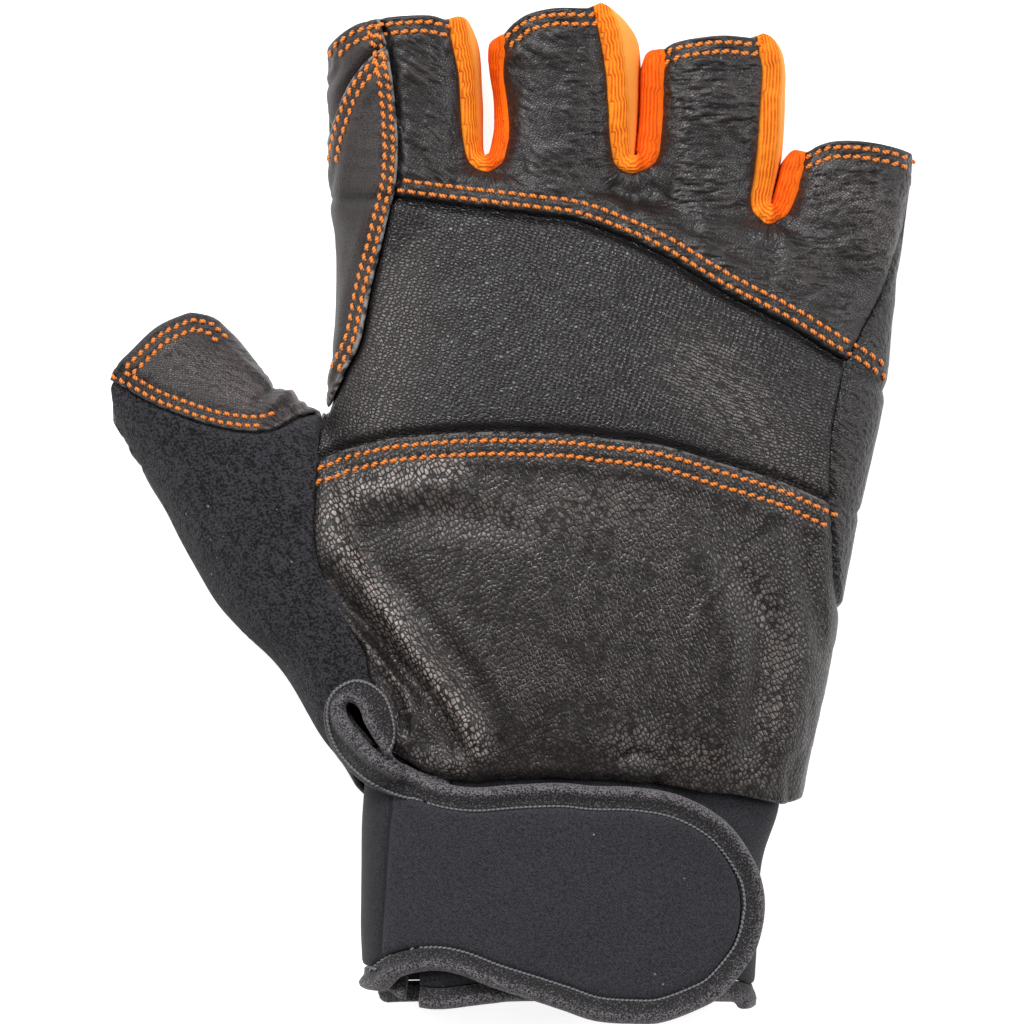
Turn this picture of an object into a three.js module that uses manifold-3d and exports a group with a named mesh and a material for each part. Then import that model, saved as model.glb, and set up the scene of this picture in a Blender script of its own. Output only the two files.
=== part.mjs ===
// Fingerless climbing glove for the right hand, lying palm down with its back up.
// Millimetres: +X towards the little finger, +Y towards the fingertips, +Z up from the surface it lies on.
// The hand, the four finger stalls, the thumb stall and the cuff are hollow tubes with a flat foot.
// The leather, knit and rubber pieces are cut out of their walls along the sewn seams.
import * as THREE from "three";
import { mergeVertices } from "three/addons/utils/BufferGeometryUtils.js";
import Module from "manifold-3d";

const wasm = await Module();
wasm.setup();

// Sizes of the whole glove
const HAND_WIDTH = 113; // across the knuckles
const HAND_LENGTH = 116; // from the wrist hem to the foot of the fingers
const HAND_HEIGHT = 31; // at its fullest, as it lies
const WRIST_HEM = -56; // place of the wrist hem along the glove
const FINGER_LENGTH = 32.5; // middle stall, from its foot to its rim
const FINGER_WIDTH = 31.2; // index stall
const FINGER_HEIGHT = 21.5;
const THUMB_LENGTH = 92.7; // from inside the wrist to its rim
const THUMB_WIDTH = 26.4; // at its rim
const THUMB_HEIGHT = 27; // where it leaves the hand
const THUMB_ANGLE = 31.6; // degrees it points away from the fingers
const CUFF_WIDTH = 74;
const CUFF_LENGTH = 41; // below the wrist hem
const CUFF_HEIGHT = 25.3;
const CUFF_LAP = 10; // how far the cuff is sewn up inside the hand
const STRAP_WIDTH = 45.6; // also the width of its round end

// Thicknesses, clearances and seams
const LEATHER = 1.8; // wall of the hand and all stalls
const CUFF_WALL = 2.8;
const STRAP_THICKNESS = 2.8;
const BINDING_EXTRA = 0.5; // how much the bound edge stands above the strap
const BINDING_WIDTH = 5.4;
const CLEARANCE = 0.3; // between any two pieces
const GIRTH = 9; // height of the seam between the back and the palm
const STRAP_LOW_EDGE = 5; // height where the strap is sewn to the cuff on the thumb side
const STRAP_END_HEIGHT = 13; // lowest reach of its round end on the other side
const SLIT_WIDTH = 3;
const TAPE_WIDTH = 4.2; // bound loop at the head of the slit
const TAPE_THICKNESS = 3;

// Form of every oval tube
const WAIST = 0.42; // height of its widest point, as a share of its height
const UNDERSIDE = 0.52; // depth of its lower curve before the flat foot cuts it, as a share of its height
const ROUNDNESS = 2.35; // 2 is an ellipse, more is squarer

const FOOT_ANGLE = Math.asin((WAIST / UNDERSIDE) ** (ROUNDNESS / 2)); // where the lower curve meets the foot

const FAR = 300; // reach of the cutting shapes

// Sections of the hand from the hem up. Along is a share of its length, left and right are shares of its
// width, top is a share of its height, and slope is how far the section leans towards the thumb side.
const HAND = [
  { along: 0.0, left: -0.261, right: 0.498, top: 0.9, slope: -0.03 },
  { along: 0.07, left: -0.274, right: 0.514, top: 0.98, slope: -0.04 },
  { along: 0.17, left: -0.279, right: 0.537, top: 1.0, slope: 0 },
  { along: 0.27, left: -0.284, right: 0.56, top: 1.0, slope: 0 },
  { along: 0.37, left: -0.319, right: 0.577, top: 1.0, slope: 0 },
  { along: 0.48, left: -0.339, right: 0.602, top: 0.98, slope: 0 },
  { along: 0.57, left: -0.337, right: 0.623, top: 0.96, slope: 0 },
  { along: 0.66, left: -0.314, right: 0.642, top: 0.93, slope: -0.03 },
  { along: 0.75, left: -0.302, right: 0.65, top: 0.88, slope: -0.07 },
  { along: 0.85, left: -0.303, right: 0.66, top: 0.82, slope: -0.12 },
  { along: 0.94, left: -0.303, right: 0.671, top: 0.75, slope: -0.16 },
  { along: 1.0, left: -0.282, right: 0.652, top: 0.68, slope: -0.18 },
];

// Soft folds of the back. The ends are shares of the hand's width and length, spread is a share of its
// width, and rise is a share of its height, below zero for a crease.
const FOLDS = [
  { from: [-0.28, 0.4], to: [-0.075, 0.04], spread: 0.035, rise: 0.07 },
  { from: [-0.23, 0.26], to: [-0.12, 0.05], spread: 0.028, rise: -0.1 },
  { from: [0.31, 0.4], to: [0.345, 0.1], spread: 0.042, rise: 0.055 },
  { from: [0.4, 0.38], to: [0.41, 0.12], spread: 0.04, rise: -0.06 },
  { from: [-0.13, 0.66], to: [0.2, 0.7], spread: 0.12, rise: 0.03 },
  { from: [-0.26, 0.54], to: [0.5, 0.42], spread: 0.016, rise: -0.03 },
  { from: [-0.18, 1.0], to: [0.52, 0.76], spread: 0.016, rise: -0.03 },
  { from: [0.06, 0.16], to: [0.05, 0.0], spread: 0.02, rise: -0.045 },
  { from: [0.19, 0.16], to: [0.2, 0.0], spread: 0.018, rise: -0.05 },
];

// Finger stalls. The foot is shares of the hand's width and length, and the rest are shares of the sizes
// of the longest and widest stalls. Lean is in degrees, and crown is how far the rim arches.
const FINGERS = [
  { name: "index", across: -0.18, foot: 1.06, length: 0.922, width: 1.0, tip: 1.01, height: 1.0, lean: -1, crown: 0.13 },
  { name: "middle", across: 0.088, foot: 1.056, length: 1.0, width: 0.925, tip: 0.93, height: 1.0, lean: 1, crown: 0.2 },
  { name: "ring", across: 0.336, foot: 1.017, length: 0.94, width: 0.878, tip: 0.89, height: 0.96, lean: 3.8, crown: 0.08 },
  { name: "little", across: 0.566, foot: 0.966, length: 0.51, width: 0.86, tip: 0.79, height: 0.9, lean: 10, crown: 0.04 },
];
const FINGER_ROOT = 16; // how far a stall runs on inside the hand
const ROOT_SHARE = 0.9; // its width there

// Sections of the thumb stall from its root. Left and right are half widths as shares of the thumb's width.
const THUMB_ROOT = { across: -0.1965, along: 0.1034 };
const THUMB_CROWN = 6.7; // how far its rim arches
const THUMB = [
  { along: 0.0, left: 0.5, right: 0.3, top: 0.97 },
  { along: 0.044, left: 0.505, right: 0.38, top: 1.0 },
  { along: 0.17, left: 0.42, right: 0.6, top: 1.0 },
  { along: 0.297, left: 0.42, right: 0.76, top: 0.98 },
  { along: 0.423, left: 0.56, right: 0.83, top: 0.93 },
  { along: 0.549, left: 0.62, right: 0.86, top: 0.88 },
  { along: 0.675, left: 0.585, right: 0.8, top: 0.82 },
  { along: 0.8, left: 0.57, right: 0.67, top: 0.76 },
  { along: 0.928, left: 0.53, right: 0.57, top: 0.71 },
  { along: 1.0, left: 0.51, right: 0.52, top: 0.69 },
];

// Sections of the cuff from the hem down. Left and right are shares of its width from its own centre, and
// lift is how far the lap is held up by the palm leather under it.
const CUFF_CENTRE = 0.0956; // share of the hand's width
const CUFF = [
  { along: -CUFF_LAP / CUFF_LENGTH, left: -0.48, right: 0.545, top: 0.94, lift: 1 },
  { along: 0.0, left: -0.49, right: 0.557, top: 0.96, lift: 1 },
  { along: 0.03, left: -0.492, right: 0.557, top: 0.965, lift: 1 },
  { along: 0.14, left: -0.501, right: 0.545, top: 0.98, lift: 0 },
  { along: 0.3, left: -0.503, right: 0.52, top: 0.985, lift: 0 },
  { along: 0.6, left: -0.503, right: 0.503, top: 1.0, lift: 0 },
  { along: 1.0, left: -0.497, right: 0.489, top: 1.01, lift: 0 },
];

// Seams of the hand, seen from above, as shares of the hand's width and length
const SEAM_INDEX = [
  { across: -0.207, along: 1.3 },
  { across: -0.205, along: 1.24 },
  { across: -0.197, along: 1.11 },
  { across: -0.2, along: 1.02 },
  { across: -0.214, along: 0.94 },
  { across: -0.242, along: 0.856 },
  { across: -0.267, along: 0.789 },
  { across: -0.3, along: 0.72 },
  { across: -0.335, along: 0.65 },
];
const SEAM_TIP_PATCH = [
  { across: -0.18, along: 1.272 },
  { across: -0.236, along: 1.24 },
  { across: -0.276, along: 1.192 },
  { across: -0.3, along: 1.134 },
  { across: -0.314, along: 1.088 },
  { across: -0.34, along: 1.03 },
];
const SEAM_KNUCKLE = [
  { across: -0.32, along: 1.005 },
  { across: -0.198, along: 0.995 },
  { across: -0.085, along: 0.985 },
  { across: 0.06, along: 0.956 },
  { across: 0.2, along: 0.9 },
  { across: 0.345, along: 0.83 },
  { across: 0.47, along: 0.757 },
  { across: 0.57, along: 0.7 },
  { across: 0.68, along: 0.64 },
];
const SEAM_BACK = [
  { across: -0.42, along: 0.53 },
  { across: -0.337, along: 0.556 },
  { across: -0.24, along: 0.585 },
  { across: -0.06, along: 0.61 },
  { across: 0.1, along: 0.606 },
  { across: 0.25, along: 0.576 },
  { across: 0.4, along: 0.53 },
  { across: 0.55, along: 0.483 },
  { across: 0.66, along: 0.44 },
];
const SEAM_LITTLE = [
  { across: 0.7, along: 0.99 },
  { across: 0.657, along: 0.88 },
  { across: 0.626, along: 0.822 },
  { across: 0.595, along: 0.765 },
  { across: 0.565, along: 0.68 },
  { across: 0.552, along: 0.58 },
  { across: 0.55, along: 0.48 },
  { across: 0.558, along: 0.4 },
  { across: 0.574, along: 0.31 },
  { across: 0.61, along: 0.2 },
];
const SEAM_THUMB = [
  { across: -0.36, along: 1.3 },
  { across: -0.345, along: 0.9 },
  { across: -0.329, along: 0.68 },
  { across: -0.336, along: 0.575 },
  { across: -0.339, along: 0.46 },
  { across: -0.328, along: 0.38 },
  { across: -0.305, along: 0.328 },
  { across: -0.27, along: 0.28 },
  { across: -0.232, along: 0.236 },
  { across: -0.2, along: 0.185 },
  { across: -0.182, along: 0.12 },
  { across: -0.17, along: 0.075 },
  { across: -0.135, along: 0.02 },
  { across: -0.1, along: -0.02 },
];
const SEAM_THUMB_PATCH = [
  { across: -0.76, along: 0.742 },
  { across: -0.672, along: 0.7 },
  { across: -0.605, along: 0.661 },
  { across: -0.552, along: 0.646 },
  { across: -0.5, along: 0.629 },
  { across: -0.463, along: 0.626 },
  { across: -0.427, along: 0.635 },
  { across: -0.394, along: 0.647 },
  { across: -0.31, along: 0.668 },
];

// Gussets between the fingers: the middle line of each slit from its foot to past the rims, as shares of
// the hand's width and length, and half widths of the knit that shows, in millimetres
const GUSSET_FOOT = 3.9;
const GUSSET_RIM = 4.9;
const GUSSETS = [
  { name: "gusset_index_middle", foot: [-0.043, 1.092], rim: [-0.052, 1.4] },
  { name: "gusset_middle_ring", foot: [0.212, 1.089], rim: [0.226, 1.4] },
  { name: "gusset_ring_little", foot: [0.447, 1.006], rim: [0.505, 1.4] },
];

// The webs that join neighbouring stalls below each slit
const WEB_LENGTH = 14;
const WEB_WIDTH = 10;
const WEB_HEIGHT = 0.84; // share of the stalls' height
const WEB_TOP = 1.4; // how far it ends below the middle of the gusset's round foot

// Edges of the strap from the thumb side to its round end: across is a share of the cuff's width from the
// cuff's centre, and rise is a share of the strap's width above the middle of its round end
const STRAP_END = { across: 0.2176, down: 0.493 };
const STRAP_TOP = [
  { across: -0.72, rise: 0.66 },
  { across: -0.565, rise: 0.645 },
  { across: -0.399, rise: 0.563 },
  { across: -0.227, rise: 0.49 },
  { across: 0.016, rise: 0.508 },
];
const STRAP_BOTTOM = [
  { across: 0.07, rise: -0.482 },
  { across: -0.046, rise: -0.42 },
  { across: -0.157, rise: -0.384 },
  { across: -0.351, rise: -0.303 },
  { across: -0.481, rise: -0.358 },
  { across: -0.538, rise: -0.377 },
  { across: -0.72, rise: -0.38 },
];

// The slit under the strap that lets the cuff open, and the bound loop round its head
const SLIT = [
  { across: -0.286, along: 0.163 },
  { across: -0.262, along: 0.12 },
  { across: -0.228, along: 0.07 },
  { across: -0.19, along: 0.03 },
  { across: -0.18, along: -0.06 },
  { across: -0.178, along: -0.5 },
];
const SLIT_LOOP = [
  { across: -0.219, along: 0.083 },
  { across: -0.222, along: 0.137 },
  { across: -0.24, along: 0.168 },
  { across: -0.268, along: 0.178 },
  { across: -0.293, along: 0.164 },
  { across: -0.298, along: 0.138 },
  { across: -0.285, along: 0.108 },
  { across: -0.262, along: 0.086 },
];

// Points of the hand and of the cuff seen from above
function onHand(across, along) {
  return new THREE.Vector2(across * HAND_WIDTH, WRIST_HEM + along * HAND_LENGTH);
}

function onCuff(across, down) {
  return new THREE.Vector2(CUFF_CENTRE * HAND_WIDTH + across * CUFF_WIDTH, WRIST_HEM - down * CUFF_LENGTH);
}

// A table's columns at any place along it, smooth through its rows
function readTable(table, along) {
  const place = THREE.MathUtils.clamp(along, table[0].along, table.at(-1).along);
  let i = 0;
  while (i < table.length - 2 && place > table[i + 1].along) i++;
  const [a, b] = [table[i], table[i + 1]];
  const before = table[i - 1] ?? a;
  const after = table[i + 2] ?? b;
  const span = b.along - a.along;
  const t = (place - a.along) / span;
  const read = {};
  for (const column of Object.keys(a)) {
    const slopeA = ((b[column] - before[column]) / (b.along - before.along)) * span;
    const slopeB = ((after[column] - a[column]) / (after.along - a.along)) * span;
    const bend = a[column] - b[column];
    read[column] =
      a[column] + t * slopeA - t * t * (3 * bend + 2 * slopeA + slopeB) + t ** 3 * (2 * bend + slopeA + slopeB);
  }
  return read;
}

// How far the folds lift the back of the hand at a point seen from above
function foldRise(point) {
  let rise = 0;
  for (const fold of FOLDS) {
    const start = onHand(...fold.from);
    const end = onHand(...fold.to);
    const run = end.clone().sub(start);
    const share = THREE.MathUtils.clamp(point.clone().sub(start).dot(run) / run.lengthSq(), 0, 1);
    const off = point.distanceTo(start.addScaledVector(run, share)) / (fold.spread * HAND_WIDTH);
    rise += fold.rise * HAND_HEIGHT * Math.exp(-off * off);
  }
  return rise;
}

// The tubes. Each gives its section at a share of its length: a middle point and a direction across, seen
// from above, and the reach to both sides, the floor and the top.
const handTube = {
  length: HAND_LENGTH,
  folds: foldRise,
  section(along) {
    const row = readTable(HAND, along);
    const middle = (row.left + row.right) / 2;
    const half = ((row.right - row.left) / 2) * HAND_WIDTH;
    return {
      middle: onHand(middle, along),
      across: new THREE.Vector2(1, row.slope),
      left: half,
      right: half,
      floor: 0,
      top: row.top * HAND_HEIGHT,
    };
  },
};

function fingerTube(finger) {
  const length = finger.length * FINGER_LENGTH;
  const lean = THREE.MathUtils.degToRad(finger.lean);
  const forward = new THREE.Vector2(Math.sin(lean), Math.cos(lean));
  const root = -FINGER_ROOT / length;
  return {
    length,
    root,
    crown: finger.crown * FINGER_WIDTH,
    section(along) {
      const sunk = THREE.MathUtils.clamp(along / root, 0, 1);
      const out = THREE.MathUtils.clamp(along, 0, 1);
      const share = THREE.MathUtils.lerp(finger.width, finger.tip, out) * THREE.MathUtils.lerp(1, ROOT_SHARE, sunk);
      const half = (share * FINGER_WIDTH) / 2;
      return {
        middle: onHand(finger.across, finger.foot).addScaledVector(forward, along * length),
        across: new THREE.Vector2(forward.y, -forward.x),
        left: half,
        right: half,
        floor: 0,
        top: finger.height * FINGER_HEIGHT,
      };
    },
  };
}

function webTube(gusset) {
  const foot = onHand(...gusset.foot);
  const forward = onHand(...gusset.rim).sub(foot).normalize();
  return {
    length: WEB_LENGTH,
    section(along) {
      return {
        middle: foot.clone().addScaledVector(forward, (along - 1) * WEB_LENGTH - WEB_TOP),
        across: new THREE.Vector2(forward.y, -forward.x),
        left: WEB_WIDTH / 2,
        right: WEB_WIDTH / 2,
        floor: 0,
        top: WEB_HEIGHT * FINGER_HEIGHT,
      };
    },
  };
}

const thumbTube = {
  length: THUMB_LENGTH,
  crown: THUMB_CROWN,
  section(along) {
    const row = readTable(THUMB, along);
    const turn = THREE.MathUtils.degToRad(THUMB_ANGLE);
    const forward = new THREE.Vector2(-Math.sin(turn), Math.cos(turn));
    return {
      middle: onHand(THUMB_ROOT.across, THUMB_ROOT.along).addScaledVector(forward, along * THUMB_LENGTH),
      across: new THREE.Vector2(forward.y, -forward.x),
      left: row.left * THUMB_WIDTH,
      right: row.right * THUMB_WIDTH,
      floor: 0,
      top: row.top * THUMB_HEIGHT,
    };
  },
};

const cuffTube = {
  length: CUFF_LENGTH,
  section(along) {
    const row = readTable(CUFF, along);
    return {
      middle: onCuff(0, along),
      across: new THREE.Vector2(-1, 0),
      left: row.right * CUFF_WIDTH,
      right: -row.left * CUFF_WIDTH,
      floor: THREE.MathUtils.clamp(row.lift, 0, 1) * (LEATHER + CLEARANCE),
      top: row.top * CUFF_HEIGHT,
    };
  },
};

// One point of a tube's oval ring, grown outwards or, below zero, inwards
function ringPoint(tube, section, angle, grow, arch) {
  const power = 2 / ROUNDNESS;
  const cos = Math.cos(angle);
  const sin = Math.sin(angle);
  const reach = (cos > 0 ? section.right : section.left) + grow;
  const side = Math.sign(cos) * Math.abs(cos) ** power;
  const height = section.top - section.floor;
  const waist = section.floor + WAIST * height;
  const depth = UNDERSIDE * height + grow;
  const up = Math.abs(sin) ** power;
  const plan = section.middle.clone().addScaledVector(section.across, side * reach);
  const fold = sin > 0 && tube.folds ? tube.folds(plan) * up : 0;
  const z = sin > 0 ? waist + (section.top + grow - waist) * up + fold : waist - depth * up;
  const back = new THREE.Vector2(-section.across.y, section.across.x).multiplyScalar(-arch * side * side);
  return [plan.x + back.x, plan.y + back.y, Math.max(z, section.floor - grow)];
}

// Places round an oval ring: evenly over its back, and down both flanks to the flat foot
function ringAngles(over, under) {
  const back = Array.from({ length: over }, (_, i) => (Math.PI * i) / over);
  const flank = Array.from({ length: under + 1 }, (_, i) => (FOOT_ANGLE * i) / under);
  return [...back, ...flank.map((angle) => Math.PI + angle), ...flank.slice(1).reverse().map((angle) => -angle)];
}

function evenly(from, to, steps) {
  return Array.from({ length: steps + 1 }, (_, k) => THREE.MathUtils.lerp(from, to, k / steps));
}

// A closed solid of a tube, with a ring at each of the given shares of its length
function tubeSolid(tube, places, { over, under, grow = 0 }) {
  const angles = ringAngles(over, under);
  const sides = angles.length;
  const steps = places.length - 1;
  const points = [];
  const faces = [];
  for (const along of places) {
    const section = tube.section(along);
    const arch = (tube.crown ?? 0) * THREE.MathUtils.clamp(along, 0, 1);
    for (const angle of angles) points.push(...ringPoint(tube, section, angle, grow, arch));
  }
  const at = (k, i) => k * sides + (i % sides);
  for (let k = 0; k < steps; k++) {
    for (let i = 0; i < sides; i++) {
      faces.push(at(k, i), at(k + 1, i + 1), at(k, i + 1));
      faces.push(at(k, i), at(k + 1, i), at(k + 1, i + 1));
    }
  }
  for (const [k, forward] of [
    [0, false],
    [steps, true],
  ]) {
    const hub = points.length / 3;
    const ring = Array.from({ length: sides }, (_, i) => points.slice(at(k, i) * 3, at(k, i) * 3 + 3));
    points.push(...[0, 1, 2].map((axis) => ring.reduce((sum, p) => sum + p[axis], 0) / sides));
    for (let i = 0; i < sides; i++) {
      if (forward) faces.push(hub, at(k, i + 1), at(k, i));
      else faces.push(hub, at(k, i), at(k, i + 1));
    }
  }
  const geometry = new THREE.BufferGeometry();
  geometry.setAttribute("position", new THREE.Float32BufferAttribute(points, 3));
  geometry.setIndex(faces);
  return solidOf(geometry);
}

// A three.js geometry as a solid that can be cut and joined
function solidOf(geometry) {
  geometry.deleteAttribute("normal");
  geometry.deleteAttribute("uv");
  const merged = mergeVertices(geometry, 1e-4);
  return new wasm.Manifold(
    new wasm.Mesh({
      numProp: 3,
      vertProperties: new Float32Array(merged.getAttribute("position").array),
      triVerts: new Uint32Array(merged.index.array),
    }),
  );
}

// An outline seen from above, standing between two heights
function slab(outline, low = -FAR, high = FAR) {
  const geometry = new THREE.ExtrudeGeometry(new THREE.Shape(outline), { depth: high - low, bevelEnabled: false });
  return solidOf(geometry.translate(0, 0, low));
}

// A line of points seen from above, moved sideways to its left by a distance
function beside(line, distance) {
  return line.map((point, i) => {
    const run = line[Math.min(i + 1, line.length - 1)].clone().sub(line[Math.max(i - 1, 0)]);
    run.normalize();
    return point.clone().add(new THREE.Vector2(-run.y, run.x).multiplyScalar(distance));
  });
}

function smoothLine(points, steps) {
  return new THREE.SplineCurve(points).getPoints(steps);
}

function seamLine(rows) {
  return smoothLine(
    rows.map((row) => onHand(row.across, row.along)),
    rows.length * 2,
  );
}

// Everything on one side of a seam, held back by half the clearance. The left is seen walking down its rows.
function sideOf(line, side) {
  const edge = beside(line, (side * CLEARANCE) / 2);
  const first = edge[0].clone().sub(edge[1]).setLength(FAR).add(edge[0]);
  const last = edge.at(-1).clone().sub(edge.at(-2)).setLength(FAR).add(edge.at(-1));
  const across = last.clone().sub(first).normalize();
  const away = new THREE.Vector2(-across.y, across.x).multiplyScalar(side * FAR);
  return slab([first, ...edge, last, last.clone().add(away), first.clone().add(away)]);
}

function everythingAbove(height) {
  const corners = [
    [-FAR, -FAR],
    [FAR, -FAR],
    [FAR, FAR],
    [-FAR, FAR],
  ];
  return slab(
    corners.map((corner) => new THREE.Vector2(...corner)),
    height,
    FAR,
  );
}

// The largest body of a cut solid, without its offcuts
function mainBody(solid) {
  return solid.decompose().reduce((best, body) => (body.volume() > best.volume() ? body : best));
}

function join(solids) {
  return solids.reduce((all, solid) => all.add(solid));
}

const HAND_RINGS = evenly(0, 1, 18);
const HAND_FACETS = { over: 24, under: 4 };
const THUMB_RINGS = evenly(0, 1, 10);
const THUMB_FACETS = { over: 14, under: 3 };

// The hollow wall of the hand with its stalls
function handWall() {
  const fingers = FINGERS.map(fingerTube);
  const sunkTip = 1 - LEATHER / HAND_LENGTH;
  const sunkRoot = LEATHER / THUMB_LENGTH;
  const pastHem = -(2 * CUFF_LAP) / HAND_LENGTH;
  const outside = [
    tubeSolid(handTube, HAND_RINGS, HAND_FACETS),
    tubeSolid(thumbTube, THUMB_RINGS, THUMB_FACETS),
    ...fingers.map((tube) => tubeSolid(tube, evenly(tube.root, 1, 3), { over: 12, under: 4 })),
    ...GUSSETS.map((gusset) => tubeSolid(webTube(gusset), [0, 1], { over: 6, under: 2 })),
  ];
  const inside = [
    tubeSolid(handTube, evenly(pastHem, sunkTip, 10), { over: 14, under: 3, grow: -LEATHER }),
    tubeSolid(thumbTube, evenly(sunkRoot, 1.1, 7), { over: 9, under: 3, grow: -LEATHER }),
    ...fingers.map((tube) => tubeSolid(tube, [tube.root, 0, 1.3], { over: 9, under: 3, grow: -LEATHER })),
  ];
  return join(outside).subtract(join(inside));
}

// The knit strip round one slit between two stalls, grown by the clearance where it cuts the leather
function gussetStrip(gusset, grow) {
  const foot = onHand(...gusset.foot);
  const rim = onHand(...gusset.rim);
  const forward = rim.clone().sub(foot).normalize();
  const across = new THREE.Vector2(forward.y, -forward.x);
  const round = Array.from({ length: 9 }, (_, i) => {
    const angle = (Math.PI * i) / 8;
    return foot
      .clone()
      .addScaledVector(across, -Math.cos(angle) * (GUSSET_FOOT + grow))
      .addScaledVector(forward, -Math.sin(angle) * (GUSSET_FOOT + grow));
  });
  const right = rim.clone().addScaledVector(across, GUSSET_RIM + grow);
  const left = rim.clone().addScaledVector(across, -GUSSET_RIM - grow);
  return slab([...round, right, left]);
}

// The slit from its head to past the end of the cuff, down to the girth seam
function slitCut() {
  const line = seamLine(SLIT);
  return slab([...beside(line, SLIT_WIDTH / 2), ...beside(line, -SLIT_WIDTH / 2).reverse()], GIRTH);
}

// The strap's edge seen from above, moved inwards by a distance and closed past the thumb side
function strapOutline(inwards) {
  const end = onCuff(STRAP_END.across, STRAP_END.down);
  const radius = STRAP_WIDTH / 2;
  const place = (row) => new THREE.Vector2(onCuff(row.across, 0).x, end.y + row.rise * STRAP_WIDTH);
  const top = smoothLine([...STRAP_TOP.map(place), new THREE.Vector2(end.x, end.y + radius)], 12);
  const bottom = smoothLine([new THREE.Vector2(end.x, end.y - radius), ...STRAP_BOTTOM.map(place)], 14);
  const arc = new THREE.EllipseCurve(end.x, end.y, radius, radius, Math.PI / 2, -Math.PI / 2, true).getPoints(14);
  return beside([...top.slice(0, -1), ...arc, ...bottom.slice(1)], -inwards);
}

const CUFF_RINGS = CUFF.map((row) => row.along);

// A layer lying on the cuff, from the clearance up, inside an outline
function layerOnCuff(outline, thickness) {
  const facets = { over: 16, under: 3 };
  const layer = tubeSolid(cuffTube, [-0.3, ...CUFF_RINGS, 1.1], { ...facets, grow: CLEARANCE + thickness });
  const space = tubeSolid(cuffTube, [-0.5, ...CUFF_RINGS, 1.3], { ...facets, grow: CLEARANCE });
  const centre = onCuff(0, 0).x;
  const thumbSide = slab([
    new THREE.Vector2(-FAR, -FAR),
    new THREE.Vector2(centre, -FAR),
    new THREE.Vector2(centre, FAR),
    new THREE.Vector2(-FAR, FAR),
  ]);
  const reach = everythingAbove(STRAP_END_HEIGHT).add(thumbSide.intersect(everythingAbove(STRAP_LOW_EDGE)));
  return layer.subtract(space).intersect(slab(outline)).intersect(reach);
}

// The bound loop at the head of the slit, a rolled tape lying on the glove
function slitLoop(glove) {
  const surface = new THREE.Mesh(glove, new THREE.MeshBasicMaterial({ side: THREE.DoubleSide }));
  const down = new THREE.Vector3(0, 0, -1);
  const places = smoothLine(
    SLIT_LOOP.map((row) => onHand(row.across, row.along)),
    16,
  ).map(({ x, y }) => {
    const [hit] = new THREE.Raycaster(new THREE.Vector3(x, y, FAR), down).intersectObject(surface);
    return new THREE.Vector3(x, y, hit.point.z + TAPE_THICKNESS / 4);
  });
  const section = new THREE.Shape().absellipse(0, 0, TAPE_THICKNESS / 2, TAPE_WIDTH / 2, 0, 2 * Math.PI);
  const geometry = new THREE.ExtrudeGeometry(section, {
    curveSegments: 3,
    steps: 16,
    extrudePath: new THREE.CatmullRomCurve3(places),
  });
  return solidOf(geometry);
}

function geometryOf(solid) {
  const { vertProperties, numProp, triVerts } = solid.getMesh();
  const positions = new Float32Array((vertProperties.length / numProp) * 3);
  for (let i = 0; i < positions.length / 3; i++) {
    positions.set(vertProperties.subarray(i * numProp, i * numProp + 3), i * 3);
  }
  const geometry = new THREE.BufferGeometry();
  geometry.setAttribute("position", new THREE.BufferAttribute(positions, 3));
  geometry.setIndex(new THREE.BufferAttribute(new Uint32Array(triVerts), 1));
  geometry.computeVertexNormals();
  return geometry;
}

// Finishes
const FINISH = {
  leather: { color: 0x2e2a2a, roughness: 0.55 },
  terry: { color: 0x17181c, roughness: 0.95 },
  knit: { color: 0xff7a14, roughness: 0.85 },
  neoprene: { color: 0x25272b, roughness: 0.85 },
  tape: { color: 0x221f23, roughness: 0.8 },
};

const glove = new THREE.Group();

function addPiece(name, finish, solid) {
  const material = new THREE.MeshStandardMaterial({ ...FINISH[finish], metalness: 0, flatShading: true });
  const mesh = new THREE.Mesh(geometryOf(mainBody(solid)), material);
  mesh.name = name;
  glove.add(mesh);
}

// Seams, walked down their rows: the left of each is named for what lies there
const indexSeam = seamLine(SEAM_INDEX);
const knuckleSeam = seamLine(SEAM_KNUCKLE);
const backSeam = seamLine(SEAM_BACK);
const littleSeam = seamLine(SEAM_LITTLE);
const thumbSeam = seamLine(SEAM_THUMB);
const tipPatchSeam = seamLine(SEAM_TIP_PATCH);
const thumbPatchSeam = seamLine(SEAM_THUMB_PATCH);

const aboveGirth = everythingAbove(GIRTH + CLEARANCE / 2);
const notBelowGirth = everythingAbove(GIRTH - CLEARANCE / 2);
const strapSpace = slab(strapOutline(-CLEARANCE), STRAP_LOW_EDGE - CLEARANCE);
const wall = handWall();
const openWall = wall.subtract(strapSpace).subtract(slitCut());
const gussetSpaces = join(GUSSETS.map((gusset) => gussetStrip(gusset, CLEARANCE)));
const leather = openWall.subtract(gussetSpaces);

const handSide = leather.intersect(sideOf(thumbSeam, 1));
const back = handSide.intersect(aboveGirth).intersect(sideOf(littleSeam, -1));
const ofIndexSeam = back.intersect(sideOf(indexSeam, 1));

addPiece("back_finger_panel", "leather", ofIndexSeam.intersect(sideOf(knuckleSeam, 1)));
addPiece(
  "back_knuckle_panel",
  "leather",
  ofIndexSeam.intersect(sideOf(knuckleSeam, -1)).intersect(sideOf(backSeam, 1)),
);
addPiece("back_wrist_panel", "leather", back.intersect(sideOf(backSeam, -1)));

const indexSide = back.intersect(sideOf(indexSeam, -1));
addPiece("index_side_panel", "leather", indexSide.intersect(sideOf(tipPatchSeam, 1)));
addPiece("index_tip_patch", "leather", indexSide.intersect(sideOf(tipPatchSeam, -1)));

for (const gusset of GUSSETS) {
  addPiece(gusset.name, "knit", openWall.intersect(gussetStrip(gusset, 0)));
}

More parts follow.
